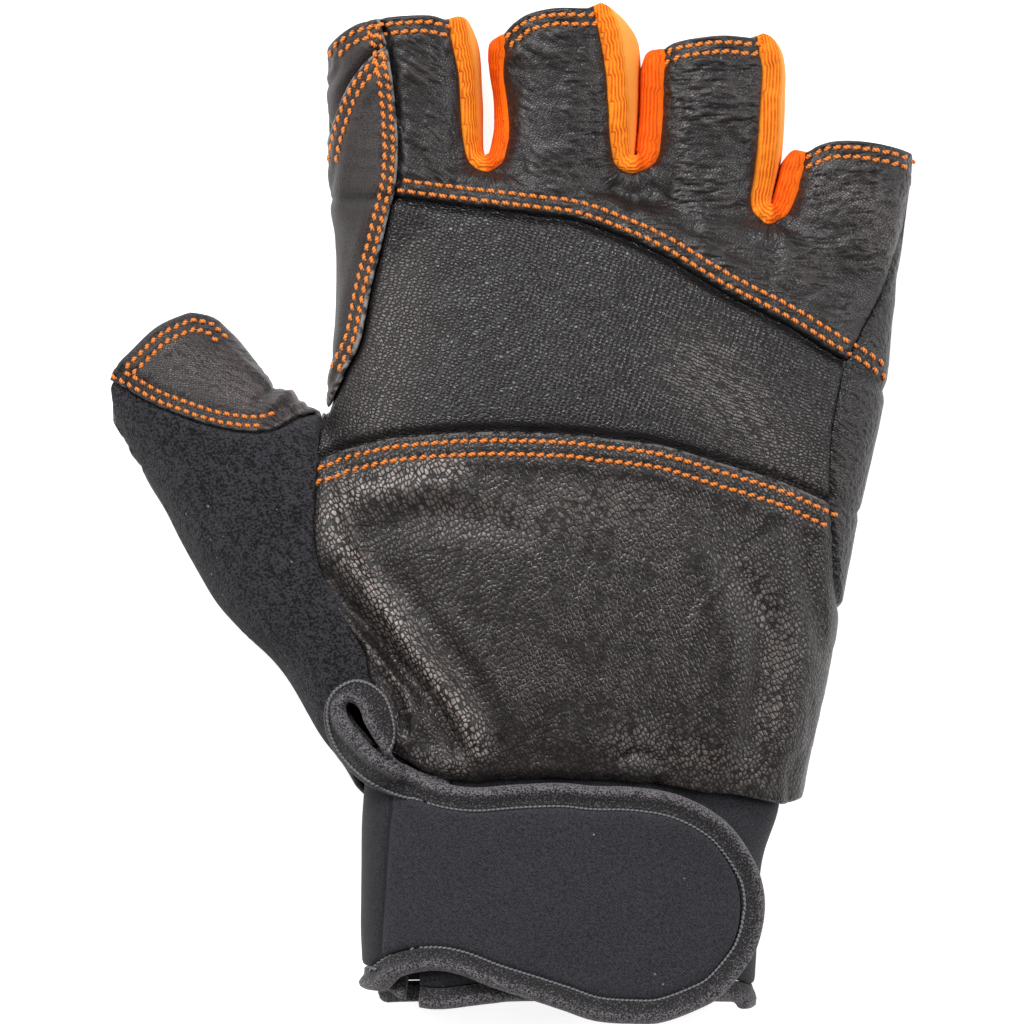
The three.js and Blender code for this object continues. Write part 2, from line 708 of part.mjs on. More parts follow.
addPiece(
  "palm_panel",
  "leather",
  handSide.subtract(notBelowGirth).add(handSide.intersect(sideOf(littleSeam, 1))),
);

const thumb = openWall.intersect(sideOf(thumbSeam, -1));
const thumbGrip = sideOf(thumbPatchSeam, 1);
addPiece("thumb_back", "terry", thumb.intersect(aboveGirth).intersect(sideOf(thumbPatchSeam, -1)));
addPiece("thumb_grip", "leather", thumb.subtract(notBelowGirth).add(thumb.intersect(thumbGrip)));

// The cuff, bound along its lower edge and split under the strap
const cuff = tubeSolid(cuffTube, CUFF_RINGS, { over: 16, under: 4 })
  .subtract(tubeSolid(cuffTube, [-0.5, ...CUFF_RINGS, 1.3], { over: 12, under: 3, grow: -CUFF_WALL }))
  .subtract(slitCut());
const cuffEdge = [-1, 1].map((across) => onCuff(across, 1 - BINDING_WIDTH / CUFF_LENGTH));
addPiece("cuff_band", "neoprene", cuff.intersect(sideOf(cuffEdge, 1)));
addPiece("cuff_binding", "tape", cuff.intersect(sideOf(cuffEdge, -1)));

// The strap that closes it, with its bound edge
addPiece("strap", "neoprene", layerOnCuff(strapOutline(BINDING_WIDTH), STRAP_THICKNESS));
addPiece(
  "strap_binding",
  "tape",
  layerOnCuff(strapOutline(0), STRAP_THICKNESS + BINDING_EXTRA).subtract(
    slab(strapOutline(BINDING_WIDTH - CLEARANCE)),
  ),
);

const grownHand = join([
  tubeSolid(handTube, HAND_RINGS, { ...HAND_FACETS, grow: CLEARANCE }),
  tubeSolid(thumbTube, THUMB_RINGS, { ...THUMB_FACETS, grow: CLEARANCE }),
]);
addPiece("slit_binding", "tape", slitLoop(geometryOf(grownHand)).subtract(grownHand).subtract(strapSpace));

export default glove;
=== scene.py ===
# %% [markdown]
# # A half-fingered climbing glove
# This notebook dresses the solid model of a right-hand climbing glove in leather, terry, knit and neoprene.
# The real glove is sewn from flat pieces that take their shape from the hand inside.
# Here the same happens the other way round: one smooth hand shape is made first, and every piece is cut
# out of its surface along the seams, given its thickness, and folded and stitched as the real one is.
# Every table below is in millimetres: x towards the little finger, y towards the fingertips, z up.

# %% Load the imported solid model
import math

import bpy
import numpy as np
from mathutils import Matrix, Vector
from mathutils.bvhtree import BVHTree


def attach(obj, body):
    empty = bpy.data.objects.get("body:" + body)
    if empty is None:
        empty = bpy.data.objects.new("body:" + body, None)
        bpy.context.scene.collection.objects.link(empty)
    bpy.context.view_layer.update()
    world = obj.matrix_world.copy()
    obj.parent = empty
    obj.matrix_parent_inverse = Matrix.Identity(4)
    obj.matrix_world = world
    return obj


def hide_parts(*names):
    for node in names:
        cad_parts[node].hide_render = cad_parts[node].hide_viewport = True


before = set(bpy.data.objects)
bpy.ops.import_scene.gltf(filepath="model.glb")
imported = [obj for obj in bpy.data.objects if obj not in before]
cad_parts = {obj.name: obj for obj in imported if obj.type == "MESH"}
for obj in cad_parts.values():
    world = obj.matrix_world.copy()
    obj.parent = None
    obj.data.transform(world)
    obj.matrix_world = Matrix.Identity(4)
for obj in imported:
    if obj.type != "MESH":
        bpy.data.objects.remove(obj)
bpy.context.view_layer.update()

MM = 0.001
GRAIN = 0.74  # size of the faces of the back's leather
COARSE = 1.15  # of the palm's

# %% [markdown]
# ## Camera, floor and light
# The photo looks straight down on the back of the glove, from far away, so a long lens stands high above.
# The floor is a plain pale table. The strongest soft lamp stands beyond the fingertips and makes every bulge
# of the leather shine on that side. Two weaker ones light the flanks, and a pale sky fills the rest.

# %% The view straight down
FRAME_WIDTH = 199.7  # how much of the table the picture shows across, at the glove's middle height
CAMERA_HEIGHT = 2200
MIDDLE_HEIGHT = 15

camera = bpy.data.objects.new("camera", bpy.data.cameras.new("camera"))
camera.data.sensor_width = 36
camera.data.lens = 36 * (CAMERA_HEIGHT - MIDDLE_HEIGHT) / FRAME_WIDTH
camera.data.clip_end = 20
camera.location = (0, 0, CAMERA_HEIGHT * MM)
bpy.context.scene.collection.objects.link(camera)
bpy.context.scene.camera = camera
bpy.context.scene.view_settings.view_transform = "Standard"
print("lens", round(camera.data.lens), "mm")


# %% Shader sums in plain Python
class Wire:
    """One output of a shader node, which takes part in sums as a number does"""

    def __init__(self, finish, socket):
        self.finish, self.socket = finish, socket

    def sum(self, word, a, b):
        flow = [x.socket.type in ("VECTOR", "RGBA") if isinstance(x, Wire) else isinstance(x, tuple)
                for x in (a, b)]
        if not any(flow):
            return self.finish.node("ShaderNodeMath", {"operation": word}, {0: a, 1: b})
        a, b = ((x,) * 3 if isinstance(x, (int, float)) else x for x in (a, b))
        return self.finish.node("ShaderNodeVectorMath", {"operation": word}, {0: a, 1: b})

    def __add__(self, other):
        return self.sum("ADD", self, other)

    def __radd__(self, other):
        return self.sum("ADD", other, self)

    def __sub__(self, other):
        return self.sum("SUBTRACT", self, other)

    def __rsub__(self, other):
        return self.sum("SUBTRACT", other, self)

    def __mul__(self, other):
        return self.sum("MULTIPLY", self, other)

    def __rmul__(self, other):
        return self.sum("MULTIPLY", other, self)


class Finish:
    """A material while it is being made"""

    def __init__(self, name, **fixed):
        self.material = bpy.data.materials.new(name)
        self.material.use_nodes = True
        self.nodes = self.material.node_tree.nodes
        self.skin = self.nodes["Principled BSDF"]
        for socket, value in fixed.items():
            self.skin.inputs[socket.replace("_", " ").title().replace("Ior", "IOR")].default_value = value

    def node(self, kind, settings=(), feeds=(), give=0):
        made = self.nodes.new(kind)
        for name, value in dict(settings).items():
            setattr(made, name, value)
        for name, value in dict(feeds).items():
            self.feed(made.inputs[name], value)
        return Wire(self, made.outputs[give])

    def feed(self, socket, value):
        if isinstance(value, Wire):
            self.material.node_tree.links.new(value.socket, socket)
        else:
            socket.default_value = value

    def place(self):
        """Where a point of the glove is, in millimetres"""
        return self.node("ShaderNodeTexCoord", give="Object") * 1000

    def mark(self, name):
        """A measurement that the mesh carries at each of its points"""
        return self.node("ShaderNodeAttribute", {"attribute_name": name}, give="Fac")

    def noise(self, where, width, detail=2.0, give="Fac"):
        return self.node("ShaderNodeTexNoise", {}, {"Vector": where, "Scale": 1 / width, "Detail": detail}, give)

    def ease(self, value, start, end, low=0.0, high=1.0):
        """A smooth change from low to high while the value goes from start to end"""
        stops = {"Value": value, "From Min": start, "From Max": end, "To Min": low, "To Max": high}
        return self.node("ShaderNodeMapRange", {"interpolation_type": "SMOOTHSTEP"}, stops)

    def mix(self, share, a, b):
        return self.node("ShaderNodeMix", {"data_type": "RGBA"}, {"Factor": share, 6: a, 7: b}, give=2)

    def wear(self, colour=None, roughness=None, height=None):
        """Gives the finish its colour, its roughness and a relief in millimetres"""
        if colour is not None:
            self.feed(self.skin.inputs["Base Color"], colour)
        if roughness is not None:
            self.feed(self.skin.inputs["Roughness"], roughness)
        if height is not None:
            relief = self.node("ShaderNodeBump", {}, {"Height": height, "Distance": MM, "Strength": 1.0})
            self.feed(self.skin.inputs["Normal"], relief)
        return self.material


def shade(red, green, blue):
    """A colour as it is read from a screen, from 0 to 255"""
    parts = [((v / 255 + 0.055) / 1.055) ** 2.4 if v > 10 else v / 255 / 12.92 for v in (red, green, blue)]
    return (*parts, 1.0)


# %% The table, the lamp and the sky
def soft_lamp(name, place, size, power, towards=(0, 0, 0)):
    lamp = bpy.data.objects.new(name, bpy.data.lights.new(name, "AREA"))
    lamp.data.shape = "RECTANGLE"
    lamp.data.size, lamp.data.size_y = size
    lamp.data.energy = power
    lamp.location = place
    lamp.rotation_euler = (Vector(towards) - Vector(place)).to_track_quat("-Z", "Y").to_euler()
    bpy.context.scene.collection.objects.link(lamp)


table_finish = Finish("pale_table", roughness=0.9, emission_strength=0.85)
table_finish.feed(table_finish.skin.inputs["Emission Color"], (1, 1, 1, 1))
bpy.ops.mesh.primitive_plane_add(size=6)
table = bpy.context.object
table.name = "table"
table.location.z = -0.0003
table.data.materials.append(table_finish.wear((0.55, 0.55, 0.55, 1)))

sky = bpy.data.worlds.new("sky")
bpy.context.scene.world = sky
sky.use_nodes = True
sky.node_tree.nodes["Background"].inputs["Color"].default_value = (1, 1, 1, 1)
sky.node_tree.nodes["Background"].inputs["Strength"].default_value = 0.16
soft_lamp("top_window", (-0.30, 0.75, 0.85), (0.45, 0.35), 11)
soft_lamp("left_window", (-0.80, 0.20, 0.70), (0.40, 0.50), 3.5)
soft_lamp("right_window", (0.78, 0.15, 0.70), (0.40, 0.50), 5.5)
print("table, sky and three lamps")

# %% [markdown]
# ## Drawing helpers
# A seam is a short row of points seen from above. These helpers make it smooth, and measure for every point
# of a surface how far it lies beside the seam and how far along it.


# %% Smooth lines and distances
def smooth_line(points, step=1.2):
    p = np.array(points, float)
    p = np.vstack([2 * p[0] - p[1], p, 2 * p[-1] - p[-2]])
    parts = []
    for a, b, c, d in zip(p, p[1:], p[2:], p[3:]):
        t = np.linspace(0, 1, max(1, round(np.linalg.norm(c - b) / step)) + 1)[:-1, None]
        parts.append(0.5 * (2 * b + (c - a) * t + (2 * a - 5 * b + 4 * c - d) * t**2 + (3 * b - a - 3 * c + d) * t**3))
    return np.vstack(parts + [p[-2:-1]])


def beside(points, line, endless=True):
    """How far points lie to the left of a line, seen from above, and how far along it they are"""
    points = points[:, :2]
    best = np.full(len(points), np.inf)
    off, along, walked = np.zeros(len(points)), np.zeros(len(points)), 0.0
    for i, (a, b) in enumerate(zip(line, line[1:])):
        run = b - a
        length = math.hypot(*run)
        if length < 1e-6:
            continue
        low = -1e9 if endless and i == 0 else 0
        high = 1e9 if endless and i == len(line) - 2 else 1
        share = np.clip((points - a) @ run / length**2, low, high)
        gap = points - a - share[:, None] * run
        near = (gap**2).sum(1)
        nearer = near < best
        best[nearer] = near[nearer]
        side = np.sign(run[0] * gap[:, 1] - run[1] * gap[:, 0])
        off[nearer] = (np.sqrt(near) * np.where(side == 0, 1, side))[nearer]
        along[nearer] = walked + share[nearer] * length
        walked += length
    if np.allclose(line[0], line[-1]):
        inside = np.zeros(len(points), bool)
        for a, b in zip(line, line[1:]):
            if a[1] != b[1]:
                passed = points[:, 0] < a[0] + (points[:, 1] - a[1]) * (b[0] - a[0]) / (b[1] - a[1])
                inside ^= ((a[1] > points[:, 1]) != (b[1] > points[:, 1])) & passed
        leftwards = (line[:-1, 0] * line[1:, 1] - line[1:, 0] * line[:-1, 1]).sum() > 0
        off = abs(off) * np.where(inside == leftwards, 1, -1)
    return off, along


def moved_left(line, distance):
    run = np.gradient(line, axis=0)
    run /= np.linalg.norm(run, axis=1)[:, None]
    return line + distance * np.stack([-run[:, 1], run[:, 0]], 1)


def ease(value, start, end):
    t = np.clip((value - start) / (end - start), 0, 1)
    return t * t * (3 - 2 * t)


def hump(value, middle, spread):
    return np.exp(-(((value - middle) / spread) ** 2))


def lumps(points, width, seed=1):
    """Soft random lumps from -1 to 1, the same on every run"""
    p = points / width + seed * 7.3
    cell = np.floor(p)
    t = p - cell
    t = t * t * (3 - 2 * t)
    total = np.zeros(len(p))
    for corner in np.ndindex((2,) * p.shape[1]):
        c = cell + corner
        chance = np.sin(c @ np.array([127.1, 311.7, 74.7])[: p.shape[1]] + seed) * 43758.5453
        total += np.prod(np.where(corner, t, 1 - t), axis=1) * (2 * (chance - np.floor(chance)) - 1)
    return total


# %% [markdown]
# ## The hand shape
# A hand in a glove is a bundle of oval tubes. Each row of a table is one section of a tube: its place along
# the tube, how far it reaches to both sides, its height, how far it leans and the height of its floor.

# %% Oval tubes
COLUMNS = ("at", "left", "right", "top", "slope", "floor")  # a row may leave out the last ones
WAIST = 0.42  # height of a tube's widest point, as a share of its height
UNDERSIDE = 0.52  # depth of its lower curve before the table cuts it
ROUNDNESS = 2.35  # 2 is an ellipse, more is squarer


def oval_rings(rows, origin=(0, 0), turn=0.0, step=1.5, sides=72, crest=None, grow=0.0):
    """Rings of points round a tube that runs along y, turned to its left by an angle in degrees"""
    rows = dict(zip(COLUMNS, np.array(rows, float).T))
    at = np.arange(rows["at"][0], rows["at"][-1] + step / 2, step)
    share = np.exp(-0.5 * (np.arange(-4, 5) * step / 2.2) ** 2)

    def eased(values):
        """The column of a table at every ring, without kinks at its rows"""
        values = np.pad(np.interp(at, rows["at"], values), 4, mode="reflect", reflect_type="odd")
        return np.convolve(values, share / share.sum(), "valid")[:, None]

    read = {key: eased(values) for key, values in rows.items()}
    floor = read.get("floor", 0 * at[:, None])
    middle = (read["left"] + read["right"]) / 2 if crest is None else crest + 0 * at[:, None]
    angle = np.linspace(0, 2 * np.pi, sides, endpoint=False)[None]
    cos, sin = np.cos(angle), np.sin(angle)
    side = np.sign(cos) * abs(cos) ** (2 / ROUNDNESS)
    up = abs(sin) ** (2 / ROUNDNESS)
    x = middle + side * (np.where(cos > 0, read["right"] - middle, middle - read["left"]) + grow)
    height = read["top"] - floor
    waist = floor + WAIST * height
    z = np.where(sin > 0, waist + (read["top"] + grow - waist) * up, waist - (UNDERSIDE * height + grow) * up)
    y = at[:, None] + read.get("slope", 0 * at[:, None]) * (x - middle)
    c, s = math.cos(math.radians(turn)), math.sin(math.radians(turn))
    place = (origin[0] + c * x - s * y, origin[1] + s * x + c * y, np.maximum(z, floor - grow))
    return np.stack(np.broadcast_arrays(*place), 2)


def ring_faces(count, sides, closed=True):
    faces = []
    for k in range(count - 1):
        a = k * sides + np.arange(sides if closed else sides - 1)
        b = k * sides + (np.arange(1, sides + 1) % sides if closed else np.arange(1, sides))
        faces.append(np.stack([a, b, b + sides, a + sides], 1))
    return np.vstack(faces)


# %% Sections of the hand, the thumb and the fingers
HAND = [
    (-64, -29.0, 55.0, 25.0, 0.0), (-56, -29.5, 56.5, 26.5, 0.0), (-50, -30.0, 57.8, 28.2, 0.0),
    (-44, -30.6, 59.2, 30.0, 0.0), (-36, -31.3, 61.0, 31.0, 0.0), (-20, -33.0, 64.0, 31.4, 0.0),
    (0, -37.0, 68.0, 31.0, 0.0), (10, -37.0, 70.4, 30.5, 0.0), (20, -36.0, 72.2, 29.5, -0.03),
    (31, -33.9, 73.5, 27.3, -0.07), (43, -34.0, 74.3, 25.4, -0.12), (53, -34.4, 75.3, 23.3, -0.16),
    (60, -33.0, 75.0, 21.3, -0.18),
]
INDEX = [
    (44, -31.5, -9.0, 20.5), (60, -35.3, -5.9, 21.5), (66, -35.6, -5.8, 21.6), (70, -35.8, -6.2, 21.6),
    (86, -36.1, -6.4, 21.4), (92, -36.2, -6.6, 21.2), (106, -36.2, -6.9, 20.8),
]
MIDDLE = [
    (44, -2.5, 21.5, 20.5), (60, -4.0, 22.4, 21.4), (66, -4.3, 22.8, 21.6), (69.4, -3.7, 23.3, 21.6),
    (72, -3.0, 23.5, 21.6), (75, -2.2, 23.6, 21.6), (81, -2.3, 23.9, 21.5), (84, -3.2, 24.0, 21.5),
    (88, -3.7, 24.3, 21.4), (91, -4.4, 24.6, 21.3), (108, -4.8, 24.4, 20.8),
]
RING = [
    (44, 28.0, 47.0, 19.8), (60, 25.3, 49.2, 20.6), (69.4, 25.6, 51.4, 20.7), (72, 26.0, 51.7, 20.7),
    (78, 26.8, 51.9, 20.7), (86, 26.4, 52.2, 20.6), (88, 26.4, 52.7, 20.5), (91, 27.3, 52.6, 20.4),
    (104, 27.6, 52.0, 20.0),
]
LITTLE = [
    (38, 54.0, 73.0, 18.8), (49, 52.0, 76.1, 19.3), (53, 51.4, 76.6, 19.4), (58, 51.2, 77.1, 19.4),
    (62, 52.7, 77.7, 19.4), (65, 53.5, 78.2, 19.3), (70, 54.2, 78.5, 19.2), (73, 55.6, 78.7, 19.1),
    (86, 57.5, 79.3, 18.6),
]
THUMB = [
    (-5, -12.0, 6.0, 25.5), (2.6, -11.7, 9.0, 26.8), (6.6, -12.9, 12.0, 27.0), (16, -12.4, 16.0, 27.0),
    (20.6, -12.2, 18.0, 26.8), (26.8, -12.9, 20.0, 26.4), (31.3, -14.6, 21.0, 26.0), (40.8, -16.6, 22.0, 25.0),
    (47, -16.3, 22.0, 24.3), (55, -16.0, 21.6, 23.3), (62, -15.2, 20.8, 22.3), (65, -15.1, 18.0, 21.9),
    (71, -15.1, 15.8, 21.0), (79, -15.1, 14.6, 20.0), (86, -14.8, 13.8, 19.2), (100, -14.0, 13.0, 18.2),
]
THUMB_ROOT, THUMB_TURN = (-22.2, -44.0), 31.6
WEBS = [((-4.9, 69.0), 0.0), ((24.0, 68.6), -0.8), ((50.3, 59.0), -8.2)]  # foot of each slit, and its turn
WEB = [(-14, -5, 5, 18), (0, -5, 5, 18)]  # fills the foot of a slit


# %% A skin, and how it is cut
class Skin:
    """A surface in millimetres: points, outward directions, faces and named measurements at each point"""

    def __init__(self, points, faces, normals=None, marks=None):
        self.points, self.faces, self.marks = points, faces, dict(marks or {})
        self.normals = self.measured_normals() if normals is None else normals

    def measured_normals(self):
        a, b, c = (self.points[self.faces[:, i]] for i in range(3))
        flat = np.cross(b - a, c - a)
        total = np.zeros_like(self.points)
        for axis in range(3):
            for corner in range(3):
                total[:, axis] += np.bincount(self.faces[:, corner], flat[:, axis], len(total))
        return total / np.maximum(np.linalg.norm(total, axis=1), 1e-12)[:, None]

    def cut(self, mark, level=0.0, both=False):
        """Cuts the faces along the line where a mark has this level, and keeps what lies above it, or both"""
        value = self.marks[mark] - level
        value = np.where(abs(value) < 0.04, 0.0, value)
        signs = np.sign(value[self.faces])
        crossed = (signs.max(1) > 0) & (signs.min(1) < 0)
        whole = self.faces[~crossed & ((signs.max(1) > 0) | both)]
        tri, sig = self.faces[crossed], signs[crossed]
        touching = (sig == 0).any(1)
        lone = np.where(touching, (sig == 0).argmax(1), (sig == -np.sign(sig.sum(1))[:, None]).argmax(1))
        turn = (lone[:, None] + np.arange(3)) % 3
        tri, sig = np.take_along_axis(tri, turn, 1), np.take_along_axis(sig, turn, 1)
        pairs = np.vstack([tri[touching][:, [1, 2]], tri[~touching][:, [0, 1]], tri[~touching][:, [0, 2]]])
        edges, back = np.unique(np.sort(pairs, 1), axis=0, return_inverse=True)
        back = back.ravel() + len(self.points)
        n, m = touching.sum(), (~touching).sum()
        mid, first, second = back[:n], back[n : n + m], back[n + m :]
        t0, t1 = tri[touching], tri[~touching]
        pieces = [
            (np.stack([t0[:, 0], t0[:, 1], mid], 1), sig[touching][:, 1]),
            (np.stack([t0[:, 0], mid, t0[:, 2]], 1), sig[touching][:, 2]),
            (np.stack([t1[:, 0], first, second], 1), sig[~touching][:, 0]),
            (np.stack([first, t1[:, 1], t1[:, 2]], 1), sig[~touching][:, 1]),
            (np.stack([first, t1[:, 2], second], 1), sig[~touching][:, 1]),
        ]
        faces = np.vstack([whole] + [tris[side > 0] if not both else tris for tris, side in pieces])
        share = value[edges[:, 0]] / (value[edges[:, 0]] - value[edges[:, 1]])

        def blend(values):
            part = share if values.ndim == 1 else share[:, None]
            return np.concatenate([values, values[edges[:, 0]] * (1 - part) + values[edges[:, 1]] * part])

        used, faces = np.unique(faces, return_inverse=True)
        normals = blend(self.normals)[used]
        normals /= np.linalg.norm(normals, axis=1)[:, None]
        marks = {name: blend(values)[used] for name, values in self.marks.items()}
        return Skin(blend(self.points)[used], faces.reshape(-1, 3), normals, marks)

    def rim(self):
        """The edges that only one face has, in walking order of that face"""
        pairs = np.vstack([self.faces[:, [0, 1]], self.faces[:, [1, 2]], self.faces[:, [2, 0]]])
        key = np.sort(pairs, 1)
        _, first, count = np.unique(key, axis=0, return_index=True, return_counts=True)
        return pairs[first[count == 1]]


# %% Melt the tubes into one skin
def melt(parts, size, rounds):
    """One closed skin round overlapping rings, made by voxels and then smoothed"""
    points, faces, count = [], [], 0
    for rings in parts:
        n, sides = rings.shape[:2]
        quads = ring_faces(n, sides)
        hubs = [count + n * sides, count + n * sides + 1]
        points += [rings.reshape(-1, 3), rings[0].mean(0)[None], rings[-1].mean(0)[None]]
        faces += (quads + count).tolist()
        for i in range(sides):
            j = (i + 1) % sides
            faces.append([hubs[0], count + j, count + i])
            faces.append([hubs[1], count + (n - 1) * sides + i, count + (n - 1) * sides + j])
        count += n * sides + 2
    mesh = bpy.data.meshes.new("melt")
    mesh.from_pydata(np.vstack(points).tolist(), [], faces)
    thing = bpy.data.objects.new("melt", mesh)
    bpy.context.scene.collection.objects.link(thing)
    voxels = thing.modifiers.new("voxels", "REMESH")
    voxels.mode, voxels.voxel_size = "VOXEL", size
    soften = thing.modifiers.new("soften", "SMOOTH")
    soften.factor, soften.iterations = 0.5, rounds
    made = thing.evaluated_get(bpy.context.evaluated_depsgraph_get()).to_mesh()
    made.calc_loop_triangles()
    points = np.empty(len(made.vertices) * 3)
    made.vertices.foreach_get("co", points)
    tris = np.empty(len(made.loop_triangles) * 3, np.int64)
    made.loop_triangles.foreach_get("vertices", tris)
    bpy.data.objects.remove(thing)
    points = points.reshape(-1, 3)
    points[:, 2] = np.maximum(points[:, 2], 0)
    return Skin(points, tris.reshape(-1, 3))


tubes = [oval_rings(rows) for rows in (HAND, INDEX, MIDDLE, RING, LITTLE)]
tubes.append(oval_rings(THUMB, THUMB_ROOT, THUMB_TURN, crest=0.0))
tubes += [oval_rings(WEB, foot, turn) for foot, turn in WEBS]
hand = melt(tubes, GRAIN, 30)
under_hand = melt(tubes, COARSE, 10)
for skin in (hand, under_hand):
    if skin.points[skin.normals[:, 2] > 0.5][:, 2].mean() < 10:
        skin.faces, skin.normals = skin.faces[:, ::-1], -skin.normals
print("hand skin", len(hand.faces), "faces, palm skin", len(under_hand.faces))

# %% [markdown]
# ## Seams
# Each seam is traced as it is seen from above. Left means the left hand of someone who walks along the row.

# %% Where the pieces meet
SEAMS = {
    # leather over the knuckles on the left, the smooth middle panel on the right
    "knuckle": [(-60, 62), (-27.7, 61.6), (-22.8, 61.4), (-14, 60.3), (-5.5, 59.3), (4.5, 58.1), (12.3, 57.1),
        (21.1, 54), (29.1, 50.3), (41, 43.1), (53, 36.9), (63, 30.8), (66.5, 28.9), (73.3, 24.2), (90, 12)],
    # the middle panel on the left, the wrist panel on the right
    "back": [(-60, 6.5), (-39.4, 9.9), (-33.3, 12.0), (-27, 13.6), (-21.4, 14.6), (-5.5, 15.6), (10.3, 15.2),
        (17.2, 14.4), (29.1, 12.9), (41, 9.4), (53, 5.7), (61.8, 1.8), (65.9, 0), (85, -9)],
    # the back on the left, the index finger's side panel on the right
    "index": [(-26.6, 112), (-26.3, 97.9), (-25.9, 96.3), (-24.2, 89.9), (-23, 81.9), (-22.2, 72), (-22.6, 64),
        (-23.8, 58.9), (-25.7, 51.1), (-27.9, 42.7), (-29.8, 33.5), (-32.6, 27.7), (-34.5, 23.4), (-42, 10)],
    # the side panel on the left, which lies over its corner patch on the right
    "tip": [(-15.4, 98), (-26, 89.7), (-29.7, 86.2), (-32.1, 82.9), (-34.1, 78.5), (-35.7, 73.5), (-36.7, 69),
        (-38.5, 58.6)],
    # the palm leather that wraps round the little-finger edge on the left, the back on the right
    "little": [(80, 66), (78, 57.9), (76.6, 54), (75.4, 50.3), (71.8, 41.3), (66.9, 32.8), (65.3, 28.9),
        (63.8, 22.8), (62.4, 14), (62.2, 0.4), (63, -9.4), (64, -17.9), (65.9, -28.9), (68.5, -42)],
    # the hand on the left, the thumb on the right
    "thumb": [(-46, 112), (-45, 60), (-41, 36), (-38.8, 29.5), (-37.2, 25), (-37.1, 19.5), (-37.6, 10.7),
        (-38.4, -2), (-38.2, -6.6), (-37.1, -11.9), (-34.5, -17.9), (-32.2, -21.8), (-29.8, -25), (-28.4, -28),
        (-28, -31), (-27, -33.8), (-25, -36.5), (-24, -39.8), (-24.2, -43.5), (-25, -47), (-26, -53),
        (-27, -62)],
    # the thumb's leather patch on the left, its fuzzy back on the right
    "patch": [(-90, 32), (-81.3, 27.7), (-78, 25.5), (-75.5, 24.2), (-70.6, 21.4), (-66.7, 19.7), (-58.9, 17),
        (-52.1, 15.8), (-47.6, 16), (-44.5, 17.2), (-41.3, 19.1), (-36.5, 20.3), (-28, 22)],
    # the hand on the left, the cuff and strap on the right
    "hem": [(-46, -50.3), (-34, -49.9), (-31.4, -49.4), (-29.6, -47.6), (-28.9, -45.7), (-26.7, -45.6),
        (-23.2, -47.2), (-18.7, -50.1), (-13.8, -52.1), (-7.4, -53), (0.8, -52.4), (9.4, -52.1), (16, -52.8),
        (22.4, -52.8), (29.1, -53.4), (33.7, -54), (37.2, -54.6), (43.9, -55.2), (50.3, -56.4), (53.6, -57.1),
        (56.4, -56.2), (60, -54), (72, -52)],
}
GUSSETS = {
    "gusset_index_middle": [(-13.4, 108), (-12.1, 97.5), (-11.1, 90.5), (-10.1, 85.8), (-9.6, 80.3),
        (-9.2, 74.1), (-8.4, 69.4), (-7.2, 67.4), (-4.9, 66.6), (-2.9, 67.4), (-1.9, 69.4), (-1.2, 74.1),
        (-1.6, 78.8), (-2.3, 85.8), (-2.2, 90.5), (-2.3, 96), (-2.3, 108)],
    "gusset_middle_ring": [(15.4, 108), (16.2, 98), (17.9, 90.5), (18.7, 85.8), (19.3, 78.8), (19.5, 74.1),
        (20.1, 69.4), (21.1, 67), (23.4, 66), (26.1, 67), (27.9, 69.4), (28.5, 74.1), (28.9, 81.1),
        (29.2, 88.1), (28.9, 92), (28.8, 108)],
    "gusset_ring_little": [(46.8, 108), (48, 95), (48.9, 88), (49.1, 85.8), (48.8, 78.8), (48.4, 70.6),
        (47.8, 64.7), (47.2, 61.2), (47.8, 58), (50.3, 56.5), (52.6, 57.6), (54.2, 60.5), (55.6, 64.7),
        (56.4, 69.4), (57, 74), (58, 90)],
}
RIMS = [
    [(-46, 80), (-37.8, 86), (-36.9, 89.1), (-35.5, 91.7), (-31.6, 94.4), (-26.7, 95.9), (-21.8, 96.5),
     (-16, 96.7), (-12.6, 95.9), (-10.4, 96.6), (-8.6, 96.1), (-7.2, 93.4), (-6.2, 90.5), (-4, 82)],
    [(-7, 84), (-5.3, 90), (-4.3, 91.9), (-2.1, 93.4), (2.3, 96.7), (8.4, 98.1), (15, 98.1), (17.4, 99.2),
     (19.5, 98.1), (22, 95.9), (24, 93.4), (25.2, 90.5), (27, 84)],
    [(24, 84), (25.9, 88.5), (26.9, 90.1), (29.2, 90.5), (32.6, 91.8), (40.8, 92.8), (47.4, 92.4),
     (49.3, 93.4), (51.3, 92), (52.8, 89.7), (54.4, 84)],
    [(50, 66.6), (53.6, 69.4), (55.2, 70.8), (57, 70.4), (60.8, 72), (65.6, 72.4), (72, 71.7), (77.8, 70.3),
     (80.5, 68.6)],
]
THUMB_RIM = [(17, 74), (13.9, 84.9), (12.7, 88.7), (9.8, 91.5), (8.1, 92.2), (2.2, 92.9), (-3.4, 91.9), (-10.3, 89.8),
             (-13.4, 85.5), (-15.4, 81.2), (-18, 74)]
GIRTH = 9.0
# the bound loop at the head of the slit, and the slit itself
LOOP = [(-23.4, -46.4), (-22.6, -44), (-22.7, -40.5), (-24.2, -36), (-27.2, -33.2), (-30.5, -32.4),
        (-33.6, -33.6), (-35.6, -36), (-36.2, -39.5), (-35.6, -43), (-34, -46.6), (-31.2, -50), (-28, -52.6),
        (-23.9, -54.8), (-20, -56), (-16.4, -57), (-13.5, -57.6), (-12.5, -55.5), (-13, -52.5), (-16.7, -51.4),
        (-20, -49.7), (-22.4, -48), (-23.4, -46.4)]
HOLE = [(-24.5, -47.1), (-26.6, -44), (-28.4, -41), (-29.3, -38.6), (-30.4, -37.2), (-31.8, -36.9),
        (-32.1, -38.2), (-31.2, -40.6), (-29, -43.2), (-26.8, -45.6), (-24.7, -47.3), (-20, -49.8),
        (-16.7, -51.5), (-12.5, -52.9), (-12.5, -52.8), (-16.7, -51.4), (-20, -49.7), (-24.5, -47.1)]


